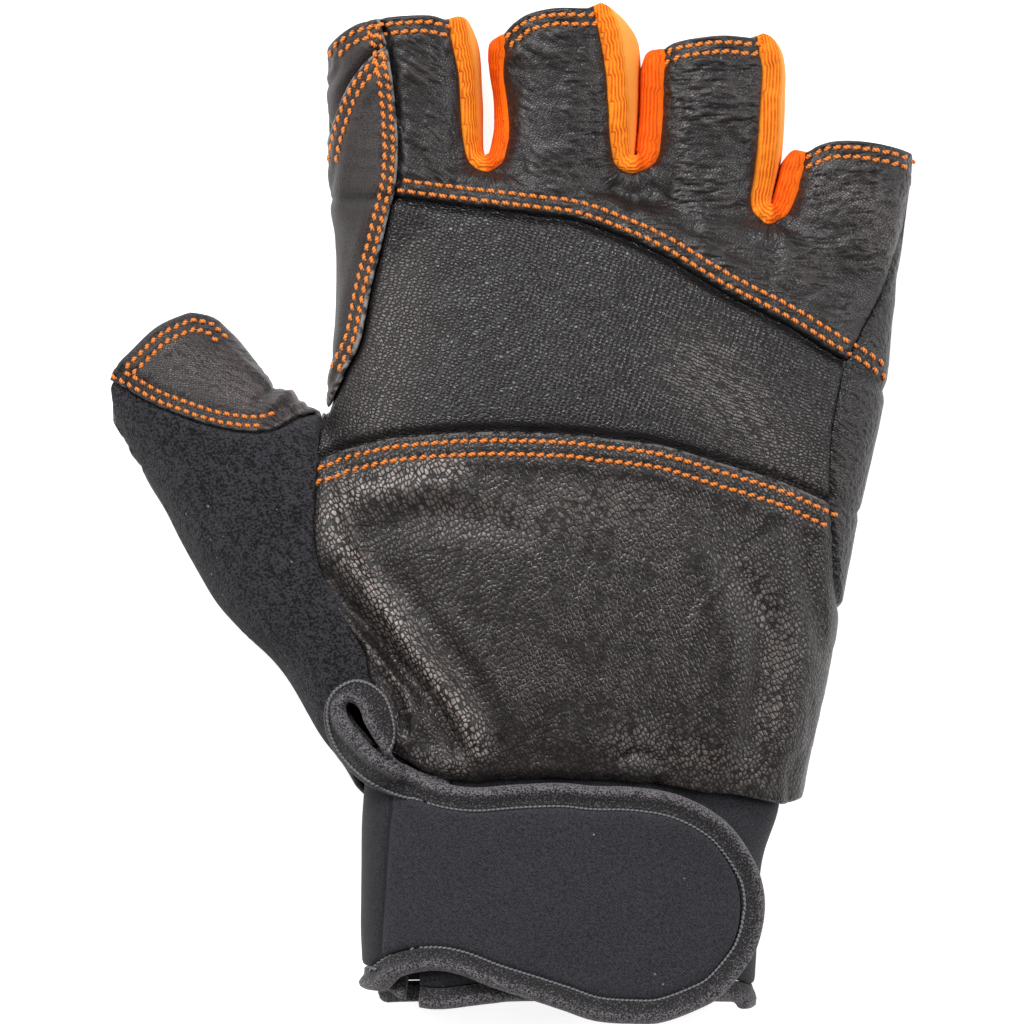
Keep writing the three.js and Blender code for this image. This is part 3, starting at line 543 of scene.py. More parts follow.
def on_thumb(across, along):
    c, s = math.cos(math.radians(THUMB_TURN)), math.sin(math.radians(THUMB_TURN))
    return THUMB_ROOT[0] + c * across - s * along, THUMB_ROOT[1] + s * across + c * along


LINES = {name: smooth_line(row) for name, row in {**SEAMS, **GUSSETS}.items()}
LINES["loop"], LINES["hole"] = smooth_line(LOOP, 0.7), smooth_line(HOLE, 0.5)[::-1]
RIM_LINES = [smooth_line(row[::-1]) for row in RIMS]
THUMB_RIM_LINE = smooth_line([on_thumb(*spot) for spot in THUMB_RIM])


# %% Measure the skin against every seam
def split_of(points):
    """Which finger a point belongs to: the slits lean a little, so their middles shift with y"""
    x, y = points[:, 0], points[:, 1]
    slits = [-5.0 - 0.01 * (y - 67), 24.4 + 0.055 * (y - 66), 50.4 + 0.24 * np.minimum(y - 57, 16)]
    return sum((x > slit).astype(int) for slit in slits)


def measure(skin):
    marks, points = skin.marks, skin.points
    for name, line in LINES.items():
        marks[name], along = beside(points, line, endless=name not in ("loop", "hole"))
        if name in ("knuckle", "back", "index", "tip", "patch"):
            marks[name + "_along"] = along
    finger = split_of(points)
    rim = np.full(len(points), 1e3)
    along = np.zeros(len(points))
    for i, line in enumerate(RIM_LINES):
        here = (finger == i) & (points[:, 1] > 40)
        rim[here], along[here] = beside(points[here], line)
    on = marks["thumb"] < 0
    rim[on], along[on] = beside(points[on], THUMB_RIM_LINE)
    marks["rim"], marks["rim_along"] = rim, along
    z = points[:, 2]
    low_hem = points[:, 1] + 56
    share = ease(z, 6, 12)
    marks["hem"] = marks["hem"] * share + low_hem * (1 - share)
    marks["backside"] = np.minimum(z - GIRTH, -marks["little"])
    marks["grip"] = np.maximum(GIRTH - z, marks["patch"])
    marks["gusset"] = np.maximum.reduce([marks[name] for name in GUSSETS])


measure(hand)
measure(under_hand)
print("measured against", len(LINES), "lines")

# %% [markdown]
# ## Folds
# Leather that has been worn keeps the folds of the hand. Each fold is a path seen from above, how high it
# stands, below zero for a crease, and how wide it spreads. Along the crests of the bulges the leather gets a
# painted highlight, and a second table says where and how strongly.

# %% Folds of the back: rise, spread and path
FOLDS = [
    (2.4, 2.5, [(-34.5, 6), (-35, -1), (-33, -8), (-30, -12), (-23.6, -20), (-18.7, -26), (-13.3, -33.5),
        (-8.4, -41.5), (-5.5, -49)]),
    (-2.4, 1.7, [(-35.5, -12), (-33.7, -15.8), (-30, -19.9), (-25.2, -25), (-20.7, -31.4), (-15, -38),
        (-11, -45), (-9, -50)]),
    (0.9, 3.2, [(-33, 2), (-22, 4.5), (-8, 5.5)]),
    (-0.6, 3.0, [(-26, -4), (-14, -1), (2, -4)]),
    (1.2, 1.0, [(-31, -22.5), (-27.6, -26.3), (-24.8, -30.2), (-21.1, -34.1), (-19.3, -38), (-19.3, -44.5)]),
    (-1.7, 1.0, [(-25.2, -31.5), (-23.2, -34), (-21.4, -38), (-20.6, -43)]),
    (1.3, 1.7, [(-16.5, -46.5), (-12.5, -48.2), (-8, -48.6)]),
    (-0.8, 2.6, [(-22, -13), (-13, -26), (-3, -40)]),
    (0.5, 2.2, [(-12, -20), (-4, -32), (1, -46)]),
    (0.5, 1.6, [(48, -6), (40, -14), (34, -26)]),
    (-0.6, 1.2, [(52, -2), (45, -8), (40, -18)]),
    (-0.7, 1.8, [(60, 12), (56.5, 2), (57, -12), (60, -26)]),
    (1.3, 3.2, [(36.7, -7), (41.5, -19), (43.5, -33), (40.6, -49)]),
    (-1.5, 2.6, [(45.4, -13), (50.3, -25), (46.5, -46)]),
    (0.8, 3.4, [(56, -16), (56, -32), (52, -50)]),
    (-0.9, 1.0, [(21, -48), (25, -46.5), (29, -49)]),
    (-0.7, 1.3, [(8, -38), (6, -46), (5, -52)]),
    (0.5, 1.4, [(14, -42), (13, -52)]),
    (0.6, 1.5, [(24, -36), (25, -44), (24, -53)]),
    (-0.8, 1.3, [(32, -34), (31, -44), (32, -54)]),
    (-0.6, 1.0, [(37, -44), (36, -55)]),
    (-0.5, 1.1, [(-2, -44), (-1, -52)]),
    (0.9, 13.0, [(-20, 24), (0, 30), (22, 27)]),
    (-0.5, 2.0, [(-31, 22), (-30, 32), (-27, 44)]),
    (-0.35, 0.9, [(60, 52), (68, 49), (76, 50)]),
    (-0.3, 0.8, [(56, 56), (66, 55), (77, 57)]),
    (-0.7, 1.3, [(50.5, 55), (51, 48), (49, 43)]),
    (-0.6, 1.6, [(-5, 65), (-5, 62.5)]),
    (-0.6, 1.5, [(23.6, 64), (23.5, 58)]),
    (-0.4, 0.8, [(21, 64), (15, 60)]),
    (-0.4, 0.8, [(26, 64), (33, 59)]),
    (-0.4, 0.8, [(49, 55), (42, 50)]),
    (-0.4, 0.8, [(53, 56), (60, 51)]),
]


def fold_rise(points):
    total = np.zeros(len(points))
    for rise, spread, path in FOLDS:
        line = smooth_line(path, 2.0)
        reach = 3 * spread
        low, high = line.min(0) - reach, line.max(0) + reach
        near = np.flatnonzero(((points[:, :2] > low) & (points[:, :2] < high)).all(1) & (points[:, 2] > 8))
        if len(near):
            off, along = beside(points[near], line, endless=False)
            length = np.linalg.norm(np.diff(line, axis=0), axis=1).sum()
            ends = 0.35 + 0.65 * np.sin(np.pi * np.clip(along / length, 0, 1)) ** 0.5
            total[near] += rise * hump(off, 0, spread) * ends
    return total


def wrinkles(points, angle, length, width, seed):
    """Long thin creases that run at an angle, in degrees from x"""
    c, s = math.cos(math.radians(angle)), math.sin(math.radians(angle))
    bent = points[:, :2] + 2.2 * np.stack([lumps(points, 9, seed + 5), lumps(points, 9, seed + 6)], 1)
    run = bent[:, 0] * c + bent[:, 1] * s
    over = -bent[:, 0] * s + bent[:, 1] * c
    field = lumps(np.stack([run / length, over / width], 1), 1.0, seed)
    return -np.exp(-((field / 0.22) ** 2)) * ease(lumps(points, 8, seed + 9), -0.5, 0.3)


def leather_rise(skin):
    """All folds and wrinkles of the back together, in millimetres"""
    p, m = skin.points, skin.marks
    rise = fold_rise(p)
    fingers = ease(m["knuckle"], 1, 5) * ease(p[:, 2], 8, 13)
    rise += 0.22 * fingers * wrinkles(p, -28, 7.0, 1.5, 3) * ease(-m["gusset"], 0.5, 2.5)
    rise += 0.16 * fingers * wrinkles(p, 5, 9.0, 1.9, 8)
    wrist = ease(-m["back"], 5, 12) * ease(p[:, 2], 8, 14)
    rise += 0.20 * wrist * wrinkles(p, 84, 8.0, 1.7, 14)
    rise += 0.12 * wrist * wrinkles(p, 8, 7.0, 1.6, 21)
    hem = hump(m["hem"], 0.5, 5.5) * (m["back"] < 0)
    rise += hem * (0.55 * lumps(p[:, :1], 2.4, 31) + 0.4 * lumps(p[:, :1], 4.6, 33))
    rise += 0.25 * lumps(p, 14, 41) * ease(p[:, 2], 6, 12)
    pleats = hump(m["back"], -7.6, 2.4) * ease(p[:, 2], 8, 14)
    rise += 0.24 * pleats * lumps(np.stack([m["back_along"] / 1.7, p[:, 1] / 9], 1), 1.0, 17)
    groove = hump(m["knuckle"], -0.7, 1.0) + 0.8 * hump(m["back"], 0.6, 0.8)
    groove += 0.7 * hump(m["index"], 0.6, 0.7) * (m["knuckle"] > 0)
    # the grooves beside the seams: their depth, and painted shade in the leather's colour
    dark = [("knuckle", 1, -0.7, 1.2), ("back", 0.8, 0.5, 0.9), ("index", 0.9, 0.5, 0.9), ("little", 0.9, -0.2, 0.8),
            ("gusset", 0.8, 0, 0.45), ("thumb", 0.7, 0, 0.7)]
    m["groove"] = np.maximum.reduce([share * hump(m[seam], middle, spread) for seam, share, middle, spread in dark])
    return rise - 0.75 * groove


# %% Painted highlights on the crests of the bulges: share, spread and path
HIGHLIGHT_CRESTS = [
    (0.95, 2.5, [(-11, 8), (-19, 7), (-27, 5), (-32.5, 2), (-35.3, -3), (-30, -11), (-23.2, -20.5),
        (-17.4, -29.8), (-12.5, -35.9), (-8.6, -41), (-6.8, -45.5)]),
    (0.55, 4.5, [(-30, 5), (-22, 6.5)]),
    (0.3, 4.0, [(-66, 31), (-59, 27), (-53, 23.5)]),
    (0.75, 0.55, [(-28, -26.6), (-24.8, -30.4), (-21.5, -34.1), (-19.7, -38.6)]),
    (0.6, 1.5, [(-18, -47.3), (-13.8, -49.2), (-9.5, -49.4)]),
    (0.22, 4.5, [(-16, 0), (2, -1), (24, 2)]),
    (0.3, 4.5, [(46, -14), (52, -26), (50, -42)]),
    (0.3, 4.0, [(22, -45), (34, -47), (48, -50)]),
    (0.28, 6.5, [(-22, 44), (-24, 30), (-26, 20)]),
    (0.28, 7.0, [(36, 28), (48, 16), (56, 6)]),
    (0.25, 4.0, [(60, 64), (72, 58), (74, 50)]),
]


def crest_highlight(points):
    """How strongly the painted highlight lies on the crests of the bulges, from 0 to 1"""
    crests = [share * hump(beside(points, smooth_line(path, 2.0), endless=False)[0], 0, spread)
              for share, spread, path in HIGHLIGHT_CRESTS]
    return np.maximum.reduce(crests) * (points[:, 2] > 10)


SLIT_FEET = np.array([(-4.9, 69), (23.6, 68.5), (50.3, 59)])  # where the creases of the fingers meet


def fan_marks(skin):
    """Where a point lies around the foot of its nearest slit, and along the bent wrinkles of the thumb"""
    x, y = skin.points[:, 0], skin.points[:, 1]
    away = np.hypot(x[:, None] - SLIT_FEET[:, 0], y[:, None] - SLIT_FEET[:, 1])
    near = away.argmin(1)
    skin.marks["far"] = away.min(1)
    skin.marks["ray"] = np.arctan2(x - SLIT_FEET[near, 0], SLIT_FEET[near, 1] - y)
    skin.marks["bend"] = y + np.maximum(x + 62, 0) ** 2 / 60


for skin in (hand, under_hand):
    skin.marks["rise"] = leather_rise(skin)
    skin.marks["crest"] = crest_highlight(skin.points)
    fan_marks(skin)
print("folds from", round(hand.marks["rise"].min(), 2), "to", round(hand.marks["rise"].max(), 2), "mm")

# %% [markdown]
# ## Finishes
# The leather is a dark goat leather with a soft shine. Over the knuckles its grain stands up in small domes,
# on the wrist it is a net of larger cells, and over the fingers it is worn into thin creases that run slanting
# on the first two fingers, level on the others, and like rays round the foot of each slit. The tops of the
# grain and the ridges of the creases get a painted highlight, and so do the crests of the bulges and the folded
# top edges; the borders of the grain and the grooves beside every seam get painted shade.


# %% Leather
def rotated(f, where, degrees):
    turn = {"Vector": where, "Angle": math.radians(degrees)}
    return f.node("ShaderNodeVectorRotate", {"rotation_type": "Z_AXIS"}, turn)


def turned_by(f, where, degrees, *size):
    """Coordinates turned about z and shrunk by a size in millimetres along each axis"""
    return rotated(f, where, -degrees) * tuple(1 / s for s in size)


def pebbles(f, where, long, short, slant):
    """Domes of the grain from 0 at their borders to 1, and a share that is 0 on the borders between them and 1 inside
    """
    spot = turned_by(f, where, slant, long, short, short)
    cells = {"Vector": spot, "Scale": 1.0, "Randomness": 0.62}
    far = f.node("ShaderNodeTexVoronoi", {"feature": "F1"}, cells, "Distance")
    border = f.node("ShaderNodeTexVoronoi", {"feature": "DISTANCE_TO_EDGE"}, cells, "Distance")
    return f.ease(far, 0.8, 0.0) * 0.35 + f.ease(border, -0.05, 0.3) * 0.65, f.ease(border, 0.0, 0.13)


def crease_field(f, where, angle, length, width):
    return f.noise(turned_by(f, where, angle, length, width, width), 1.0, 1.0)


def leather(name, grain, slant, depth, dark, light, gloss, creases=None, edge_highlight=0.0, patchy=0.35):
    """Leather with a grain of this size, slant and relief, between two tones, with a painted highlight along its top
    edges
    """
    f = Finish(name, ior=1.5)
    where = f.place()
    bent = where + (f.noise(where, 7.0, 1.0, "Color") - 0.5) * 1.6
    dome, inner = pebbles(f, bent, *grain, slant)
    fine = f.noise(where, 0.3, 1.0)
    patches = f.noise(where, 9.0, 3.0)
    height = dome * depth * f.ease(patches, 0.25, 0.7, 0.75, 1.0) + fine * 0.015
    # the tops of the grain's domes are painted paler as a highlight; the fine noise and the patches are the leather's
    # own tone
    tone = dome * 0.5 + f.ease(fine, 0.3, 0.7) * 0.35 + patches * patchy
    rough = f.ease(fine, 0.3, 0.7, gloss - 0.04, gloss + 0.05) + (1 - inner) * 0.2
    # the creases give their relief, and a painted highlight that pales their ridges
    if creases:
        relief, lighter = creases(f, where)
        height, tone = height + relief, tone + lighter
    colour = f.mix(f.ease(tone, 0.2, 1.15), shade(*dark), shade(*light))
    # painted highlight on the crests of the bulges, strongest on the grain's domes
    painted_highlight = f.mark("crest") * f.ease(f.noise(where, 1.4, 2.0), 0.3, 0.62, 0.45, 1.0) * f.ease(dome, 0.3, 0.85)
    colour = f.mix(painted_highlight, colour, shade(168, 155, 150))
    # painted shade in the borders between the grain's domes
    colour = f.mix((1 - inner) * 0.55, colour, shade(8, 6, 6))
    # painted shade in the grooves beside the seams
    colour = f.mix(f.mark("groove") * 0.75, colour, shade(7, 7, 8))
    if edge_highlight:
        # painted highlight along the folded top edges
        lit_edge = f.ease(f.mark("edge"), 0.75, 0.1) * f.ease(f.noise(where, 1.6, 2.0), 0.38, 0.6)
        colour = f.mix(lit_edge * edge_highlight, colour, shade(150, 144, 142))
    return f.wear(colour, rough, height)


# Each crease pattern gives its relief in millimetres and a painted highlight on its ridges
def finger_creases(f, where):
    x = f.node("ShaderNodeSeparateXYZ", {}, {"Vector": where}, 0)
    east = f.ease(x, -4, 26)
    slanting, level = crease_field(f, where, -34, 4.2, 1.8), crease_field(f, where, 3, 4.2, 1.45)
    field = slanting * (1 - east) + level * east
    spokes = f.node("ShaderNodeCombineXYZ", {}, {0: f.mark("ray") * 4.2, 1: f.mark("far") * 0.16})
    round_slits = f.ease(f.mark("far"), 11, 4)
    field = field * (1 - round_slits) + f.noise(spokes, 1.0, 2.0) * round_slits
    amount = f.ease(f.noise(where, 8.0, 1.0), 0.34, 0.58, 0.25, 1.0)
    return field * amount, f.ease(field, 0.45, 0.68) * amount * 0.6 - 0.12


def wrist_creases(f, where):
    streaks = crease_field(f, where, 80, 5.0, 1.5)
    return streaks * 0.22, f.ease(streaks, 0.4, 0.7) * 0.2 - 0.08


def wrap_creases(f, where):
    streaks = crease_field(f, where, -38, 5.0, 1.2)
    return streaks * 0.75, f.ease(streaks, 0.4, 0.7) * 0.35 - 0.1


def thumb_creases(f, where):
    x = f.node("ShaderNodeSeparateXYZ", {}, {"Vector": where}, 0)
    arcs = f.noise(f.node("ShaderNodeCombineXYZ", {}, {0: x * 0.17, 1: f.mark("bend") * 0.95}), 1.0, 2.0)
    near = f.ease(x + f.mark("bend") * 0.5, -46, -36)
    return arcs * near * 1.6, f.ease(arcs, 0.42, 0.62) * near * 0.9 - 0.1


LEATHERS = {
    "finger": leather("finger_leather", grain=(0.6, 0.45), slant=-30, depth=0.05, dark=(14, 11, 11),
                      light=(56, 48, 48), gloss=0.36, creases=finger_creases),
    "knuckle": leather("knuckle_leather", grain=(0.95, 0.62), slant=-20, depth=0.13, dark=(15, 12, 12),
                       light=(43, 37, 37), gloss=0.35, patchy=0.25),
    "wrist": leather("wrist_leather", grain=(1.15, 0.78), slant=-64, depth=0.12, dark=(20, 16, 15),
                     light=(65, 57, 55), gloss=0.34, creases=wrist_creases, edge_highlight=0.6, patchy=0.3),
    "side": leather("side_leather", grain=(0.36, 0.3), slant=0, depth=0.05, dark=(24, 19, 18),
                    light=(70, 59, 57), gloss=0.38, edge_highlight=0.95),
    "palm": leather("palm_leather", grain=(0.7, 0.5), slant=-20, depth=0.08, dark=(15, 11, 11),
                    light=(46, 39, 38), gloss=0.33, creases=wrap_creases),
    "patch": leather("thumb_patch_leather", grain=(0.5, 0.35), slant=0, depth=0.07, dark=(20, 16, 17),
                     light=(72, 62, 63), gloss=0.36, creases=thumb_creases, edge_highlight=0.3),
}


# %% Terry, knit, neoprene, tape and thread
def lint(f, where, spread, size, amount, colour):
    """Mixes a few pale specks of dust into a colour"""
    cells = f.node("ShaderNodeTexVoronoi", {"feature": "F1"}, {"Vector": where, "Scale": spread}, "Distance")
    speck = f.ease(cells, size, size * 0.4)
    return f.mix(speck * f.ease(f.noise(where, 4.0, 0.0), 0.56, 0.62) * amount, colour, shade(170, 170, 176))


def terry():
    f = Finish("terry", sheen_weight=0.08, sheen_roughness=0.6, specular_ior_level=0.25)
    where = f.place()
    tufts = f.noise(where, 0.48, 3.0)
    clumps = f.noise(where, 1.9, 3.0)
    rows = crease_field(f, where, -55, 3.5, 0.7)
    tone = tufts * 0.65 + clumps * 0.2 + rows * 0.2
    colour = f.mix(f.ease(tone, 0.44, 0.6), shade(1, 1, 2), shade(56, 54, 60))
    return f.wear(lint(f, where, 0.42, 0.12, 0.7, colour), 0.95, tufts + rows * 0.3 + clumps * 0.4)


def knit():
    """Ribs run beside the leather's edge with painted shade in their valleys; the far inside is smooth and painted
    paler as a highlight, and the strips right of each slit are painted darker as shade
    """
    f = Finish("orange_knit", specular_ior_level=0.2, roughness=0.8)
    where = f.place()
    edge = f.mark("edge") + f.noise(where, 5.0, 1.0) * 0.3 + f.noise(where, 0.5, 2.0) * 0.08
    ribs = f.node("ShaderNodeMath", {"operation": "SINE"}, {0: edge * (2 * math.pi / 0.56)}) * 0.5 + 0.5
    ribbed = f.mark("ribbed")
    strength = ribbed * f.ease(f.noise(where, 1.8, 2.0), 0.3, 0.6, 0.55, 1.0)
    fine = f.noise(where, 0.18, 2.0)
    # the smooth face is painted paler as a highlight, and the strips right of each slit darker as painted shade
    colour = f.mix(ribbed, shade(255, 172, 76), f.mix(f.mark("shaded_strip"), shade(255, 150, 32), shade(248, 108, 0)))
    # painted shade in the valleys of the ribs
    colour = f.mix((1 - ribs) * strength * 0.9, colour, shade(208, 56, 0))
    colour = f.mix(f.ease(fine, 0.5, 0.75) * 0.2, colour, shade(255, 170, 84))
    return f.wear(colour, None, ribs * strength * 0.12 + fine * 0.04)


def neoprene():
    f = Finish("neoprene", sheen_weight=0.08, sheen_roughness=0.5, specular_ior_level=0.3)
    where = f.place()
    turned = rotated(f, where, 24)
    bands = {"Vector": turned, "Scale": 1.15, "Distortion": 0.8, "Detail": 1.0, "Detail Scale": 3.0}
    twill = f.node("ShaderNodeTexWave", {"wave_type": "BANDS", "bands_direction": "Y"}, bands, "Fac")
    threads = f.noise(turned * (0.6, 3.0, 1.0), 0.5, 2.0)
    speck = f.noise(where, 0.17, 2.0)
    tone = twill * 0.25 + threads * 0.35 + speck * 0.5
    tone = tone + (f.noise(where, 0.4, 1.0) - 0.5) * 0.5
    colour = f.mix(f.ease(tone, 0.34, 0.74), shade(8, 9, 12), shade(62, 62, 69))
    colour = f.mix(f.mark("shadow"), colour, shade(14, 14, 17))
    return f.wear(lint(f, where, 0.3, 0.08, 0.6, colour), 0.85, twill * 0.06 + threads * 0.04 + speck * 0.03)


def tape():
    """A roll with fine uneven ribs across it, painted paler as a highlight, a channel painted dark as shade, with
    flecks, and a pale line where it is sewn down
    """
    f = Finish("ribbed_tape", sheen_weight=0.15, sheen_roughness=0.5)
    where = f.place()
    spot = f.node("ShaderNodeCombineXYZ", {}, {0: f.mark("along") * 2.0, 1: f.mark("over") * 0.45})
    ribs = f.noise(spot, 1.0, 2.0)
    flecks = f.noise(where, 0.34, 3.0)
    # painted highlight on the roll of the tape
    roll = f.ease(f.mark("over"), 2.9, 1.6)
    tone = ribs * (roll * 0.3 + 0.1) + f.ease(flecks, 0.36, 0.64) * 0.5 + f.ease(f.mark("over"), 2.2, 1.0) * 0.12
    colour = f.mix(f.ease(tone, 0.3, 0.85), shade(11, 10, 12), shade(116, 110, 115))
    # painted shade in the channel
    colour = f.mix(f.mark("channel") * 0.6, colour, shade(10, 9, 12))
    pale = f.ease(flecks, 0.58, 0.68) * f.mark("channel")
    colour = f.mix(pale * 0.7, colour, shade(120, 114, 120))
    return f.wear(colour, 0.8, ribs * 0.3 + flecks * 0.3)


def thread(name, light, dark):
    f = Finish(name, sheen_weight=0.15, roughness=0.5)
    where = f.place()
    # painted shade between the plies and where the strand dips in at its ends
    colour = f.mix(f.ease(f.mark("ply"), 0.15, 0.85) * 0.9 + f.noise(where, 0.3, 2.0) * 0.2, dark, light)
    return f.wear(colour, None, f.noise(where, 0.12, 2.0) * 0.04)


TERRY, KNIT, NEOPRENE, TAPE = terry(), knit(), neoprene(), tape()
ORANGE_THREAD = thread("orange_thread", shade(250, 140, 36), shade(104, 34, 2))
GREY_THREAD = thread("grey_thread", shade(122, 118, 124), shade(36, 34, 38))
print("finishes:", ", ".join(m.name for m in bpy.data.materials if m.name != "Dots Stroke"))

# %% [markdown]
# ## From surface to piece
# A piece is cut from the skin along its seams. Its edge is one of a few kinds. A top edge lies over the
# neighbour and is stitched down. An under edge runs on beneath the neighbour. A turned edge dips into a
# seam that was sewn from inside, and the tucked edge beside it slips in below. A hem is thick and round.
# Then the piece gets its thickness inwards, with a rounded edge.

# %% Cut, shape and thicken
ROUND_RIM = (0.0, 0.12, 0.35, 0.7)  # distances from an edge where its round profile has points
UNDER_REACH, UNDER_DEPTH = 3.0, 1.35  # how far an under edge runs on, and how far below its neighbour
TUCK, TUCK_DEPTH = 1.6, 1.45  # the same for a tucked edge
EDGE_START = {"under": -UNDER_REACH, "tucked": -TUCK, "turned": 0.0, "top": 0.0, "hem": 0.0}
FURROW = 0.34  # depth of the furrow under a row of stitches
built = {}  # the outside of every piece, for setting stitches down on it


def new_object(name, points, faces, marks, finish, replaces=()):
    mesh = bpy.data.meshes.new(name)
    mesh.vertices.add(len(points))
    mesh.vertices.foreach_set("co", (points * MM).astype(np.float32).ravel())
    mesh.loops.add(faces.size)
    mesh.loops.foreach_set("vertex_index", faces.astype(np.int32).ravel())
    mesh.polygons.add(len(faces))
    mesh.polygons.foreach_set("loop_start", np.arange(0, faces.size, faces.shape[1], dtype=np.int32))
    mesh.update(calc_edges=True)
    mesh.validate()
    mesh.shade_smooth()
    for mark, values in marks.items():
        mesh.attributes.new(mark, "FLOAT", "POINT").data.foreach_set("value", values.astype(np.float32))
    mesh.materials.append(finish)
    thing = bpy.data.objects.new(name, mesh)
    bpy.context.scene.collection.objects.link(thing)
    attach(thing, "root")
    if replaces:
        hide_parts(*replaces)
    return thing


def thicken(name, skin, out, thickness, finish, replaces=(), marks=(), rims=()):
    """Closes a skin into a solid wall: its outside is moved by out, and its rims are rounded"""
    radius = 0.46 * thickness
    rounding = np.zeros(len(skin.points))
    for mark in rims:
        d = np.clip(skin.marks[mark], 0, radius)
        rounding = np.maximum(rounding, radius - np.sqrt(np.maximum(radius**2 - (radius - d) ** 2, 0)))
    outside = skin.points + skin.normals * (out - rounding)[:, None]
    inside = skin.points + skin.normals * (out - thickness + rounding)[:, None]
    outside[:, 2] = np.maximum(outside[:, 2], 0)
    on_table = skin.points[:, 2].min() < 0.5
    inside[:, 2] = np.maximum(inside[:, 2], np.minimum(outside[:, 2], thickness * 0.98) if on_table else 0)
    n = len(skin.points)
    a, b = skin.rim().T
    walls = np.vstack([np.stack([b, a, a + n], 1), np.stack([b, a + n, b + n], 1)])
    faces = np.vstack([skin.faces, skin.faces[:, ::-1] + n, walls])
    both = {mark: np.tile(skin.marks[mark], 2) for mark in marks}
    thing = new_object(name, np.vstack([outside, inside]), faces, both, finish, replaces)
    built[name] = BVHTree.FromPolygons(outside.tolist(), skin.faces.tolist())
    print(name, len(faces), "triangles")
    return thing


def skin_of(skin, keep):
    """The faces of a skin that have a point to keep"""
    faces = skin.faces[keep[skin.faces].any(1)]
    used, faces = np.unique(faces, return_inverse=True)
    marks = {name: values[used] for name, values in skin.marks.items()}
    return Skin(skin.points[used], faces.reshape(-1, 3), skin.normals[used], marks)


def cut_piece(skin, edges):
    """Cuts a piece out of a skin. Edges name a mark, the side to keep, and the kind of edge."""
    skin = Skin(skin.points, skin.faces, skin.normals, skin.marks)
    skin.marks["edge"] = np.full(len(skin.points), 1e3)
    skin.marks["rise_of_edges"] = np.zeros(len(skin.points))
    rims = []
    for mark, side, kind in edges:
        own = f"own_{mark}"
        skin.marks[own] = side * skin.marks[mark] - EDGE_START[kind]
        skin = skin_of(skin, skin.marks[own] > -2.5)
        for level in ROUND_RIM:
            skin = skin.cut(own, level, both=level > 0)
        rims.append(own)
        d = skin.marks[own]
        if kind == "under":
            skin.marks["rise_of_edges"] -= UNDER_DEPTH * (1 - ease(d - UNDER_REACH, -0.6, 1.7))
        elif kind == "tucked":
            skin.marks["rise_of_edges"] -= TUCK_DEPTH * (1 - ease(d - TUCK, -0.5, 0.55))
        elif kind == "turned":
            skin.marks["rise_of_edges"] += 0.18 * hump(d, 2.4, 1.3) - 0.35 * hump(d, 0, 0.9)
        elif kind == "top":
            skin.marks["rise_of_edges"] += 0.38 * (1 - ease(d, 3.5, 9))
            skin.marks["edge"] = np.minimum(skin.marks["edge"], d)
    return skin, rims


def sewn(skin, mark, side, offsets, pitch=1.8):
    """The furrows that rows of stitches pull into a piece, deeper at every hole"""
    d, along = side * skin.marks[mark], skin.marks[mark + "_along"]
    total = np.zeros(len(d))
    for i, offset in enumerate(offsets):
        beat = 0.7 + 0.3 * np.cos(2 * np.pi * (along / pitch + 0.5 * i + 0.5))
        total -= FURROW * hump(d, offset, 0.5) * beat
    total += 0.16 * hump(d, sum(offsets) / 2, 0.5) + 0.22 * hump(d, offsets[-1] + 1.7, 1.1)
    return total


# %% [markdown]
# ## The back of the glove
# The finger panel is pebbled leather with slits between the fingers. Its lower edge lies over the middle
# panel and is held by two rows. The wrist panel lies over the middle panel's other edge. The side panel of
# the index finger lies over both.

# %% Leather pieces of the back
LEATHER = 1.4
FINE = ["edge", "groove", "crest", "far", "ray", "bend"]  # what the leather finish reads at each point
ROWS = {"knuckle": (1.2, 3.2), "back": (1.8, 4.4), "index": (1.0, 2.5), "tip": (1.0, 2.6), "rim": (1.4, 3.2),
        "patch": (1.0, 2.7), "thumb_rim": (1.8, 3.6)}  # how far the two rows of stitches lie from each edge


def sew_leather(name, node, finish, edges, rows=(), skin=hand, folds=1.0, thickness=LEATHER, shape=None):
    """A leather piece: edges as for cut_piece, and rows that each name a mark, its side and its offsets"""
    piece, rims = cut_piece(skin, edges)
    out = folds * piece.marks["rise"] + piece.marks["rise_of_edges"]
    for mark, side, offsets in rows:
        out += sewn(piece, mark, side, ROWS[offsets])
    if shape:
        out += shape(piece)
    thicken(name, piece, out, thickness, LEATHERS[finish], [node], FINE, rims)


def dip_at_thumb(piece):
    """The wrist hem sinks towards the thumb side"""
    return -1.3 * (1 - ease(piece.marks["own_hem"], 0, 2.4)) * ease(-piece.points[:, 0], -33, -27)


BACKSIDE, THUMB_SEAM, RIM = ("backside", 1, "turned"), ("thumb", 1, "turned"), ("rim", 1, "hem")
sew_leather("finger_panel", "back_finger_panel", "finger",
            [("knuckle", 1, "top"), ("index", 1, "under"), BACKSIDE, THUMB_SEAM, RIM, ("gusset", -1, "turned")],
            [("knuckle", 1, "knuckle"), ("rim", 1, "rim")])
sew_leather("knuckle_panel", "back_knuckle_panel", "knuckle",
            [("knuckle", -1, "under"), ("back", 1, "under"), ("index", 1, "under"), BACKSIDE, THUMB_SEAM])
sew_leather("wrist_panel", "back_wrist_panel", "wrist",
            [("back", -1, "top"), BACKSIDE, THUMB_SEAM, ("hem", 1, "hem")], [("back", -1, "back")],
            thickness=LEATHER + 0.3, shape=dip_at_thumb)
sew_leather("side_panel", "index_side_panel", "side",
            [("index", -1, "top"), THUMB_SEAM, BACKSIDE, RIM, ("tip", 1, "top")],
            [("index", -1, "index"), ("tip", 1, "tip")], folds=0.5)
sew_leather("corner_patch", "index_tip_patch", "side",
            [("tip", -1, "under"), ("index", -1, "top"), THUMB_SEAM, BACKSIDE, RIM],
            [("index", -1, "index"), ("rim", 1, "rim")], folds=0.0)

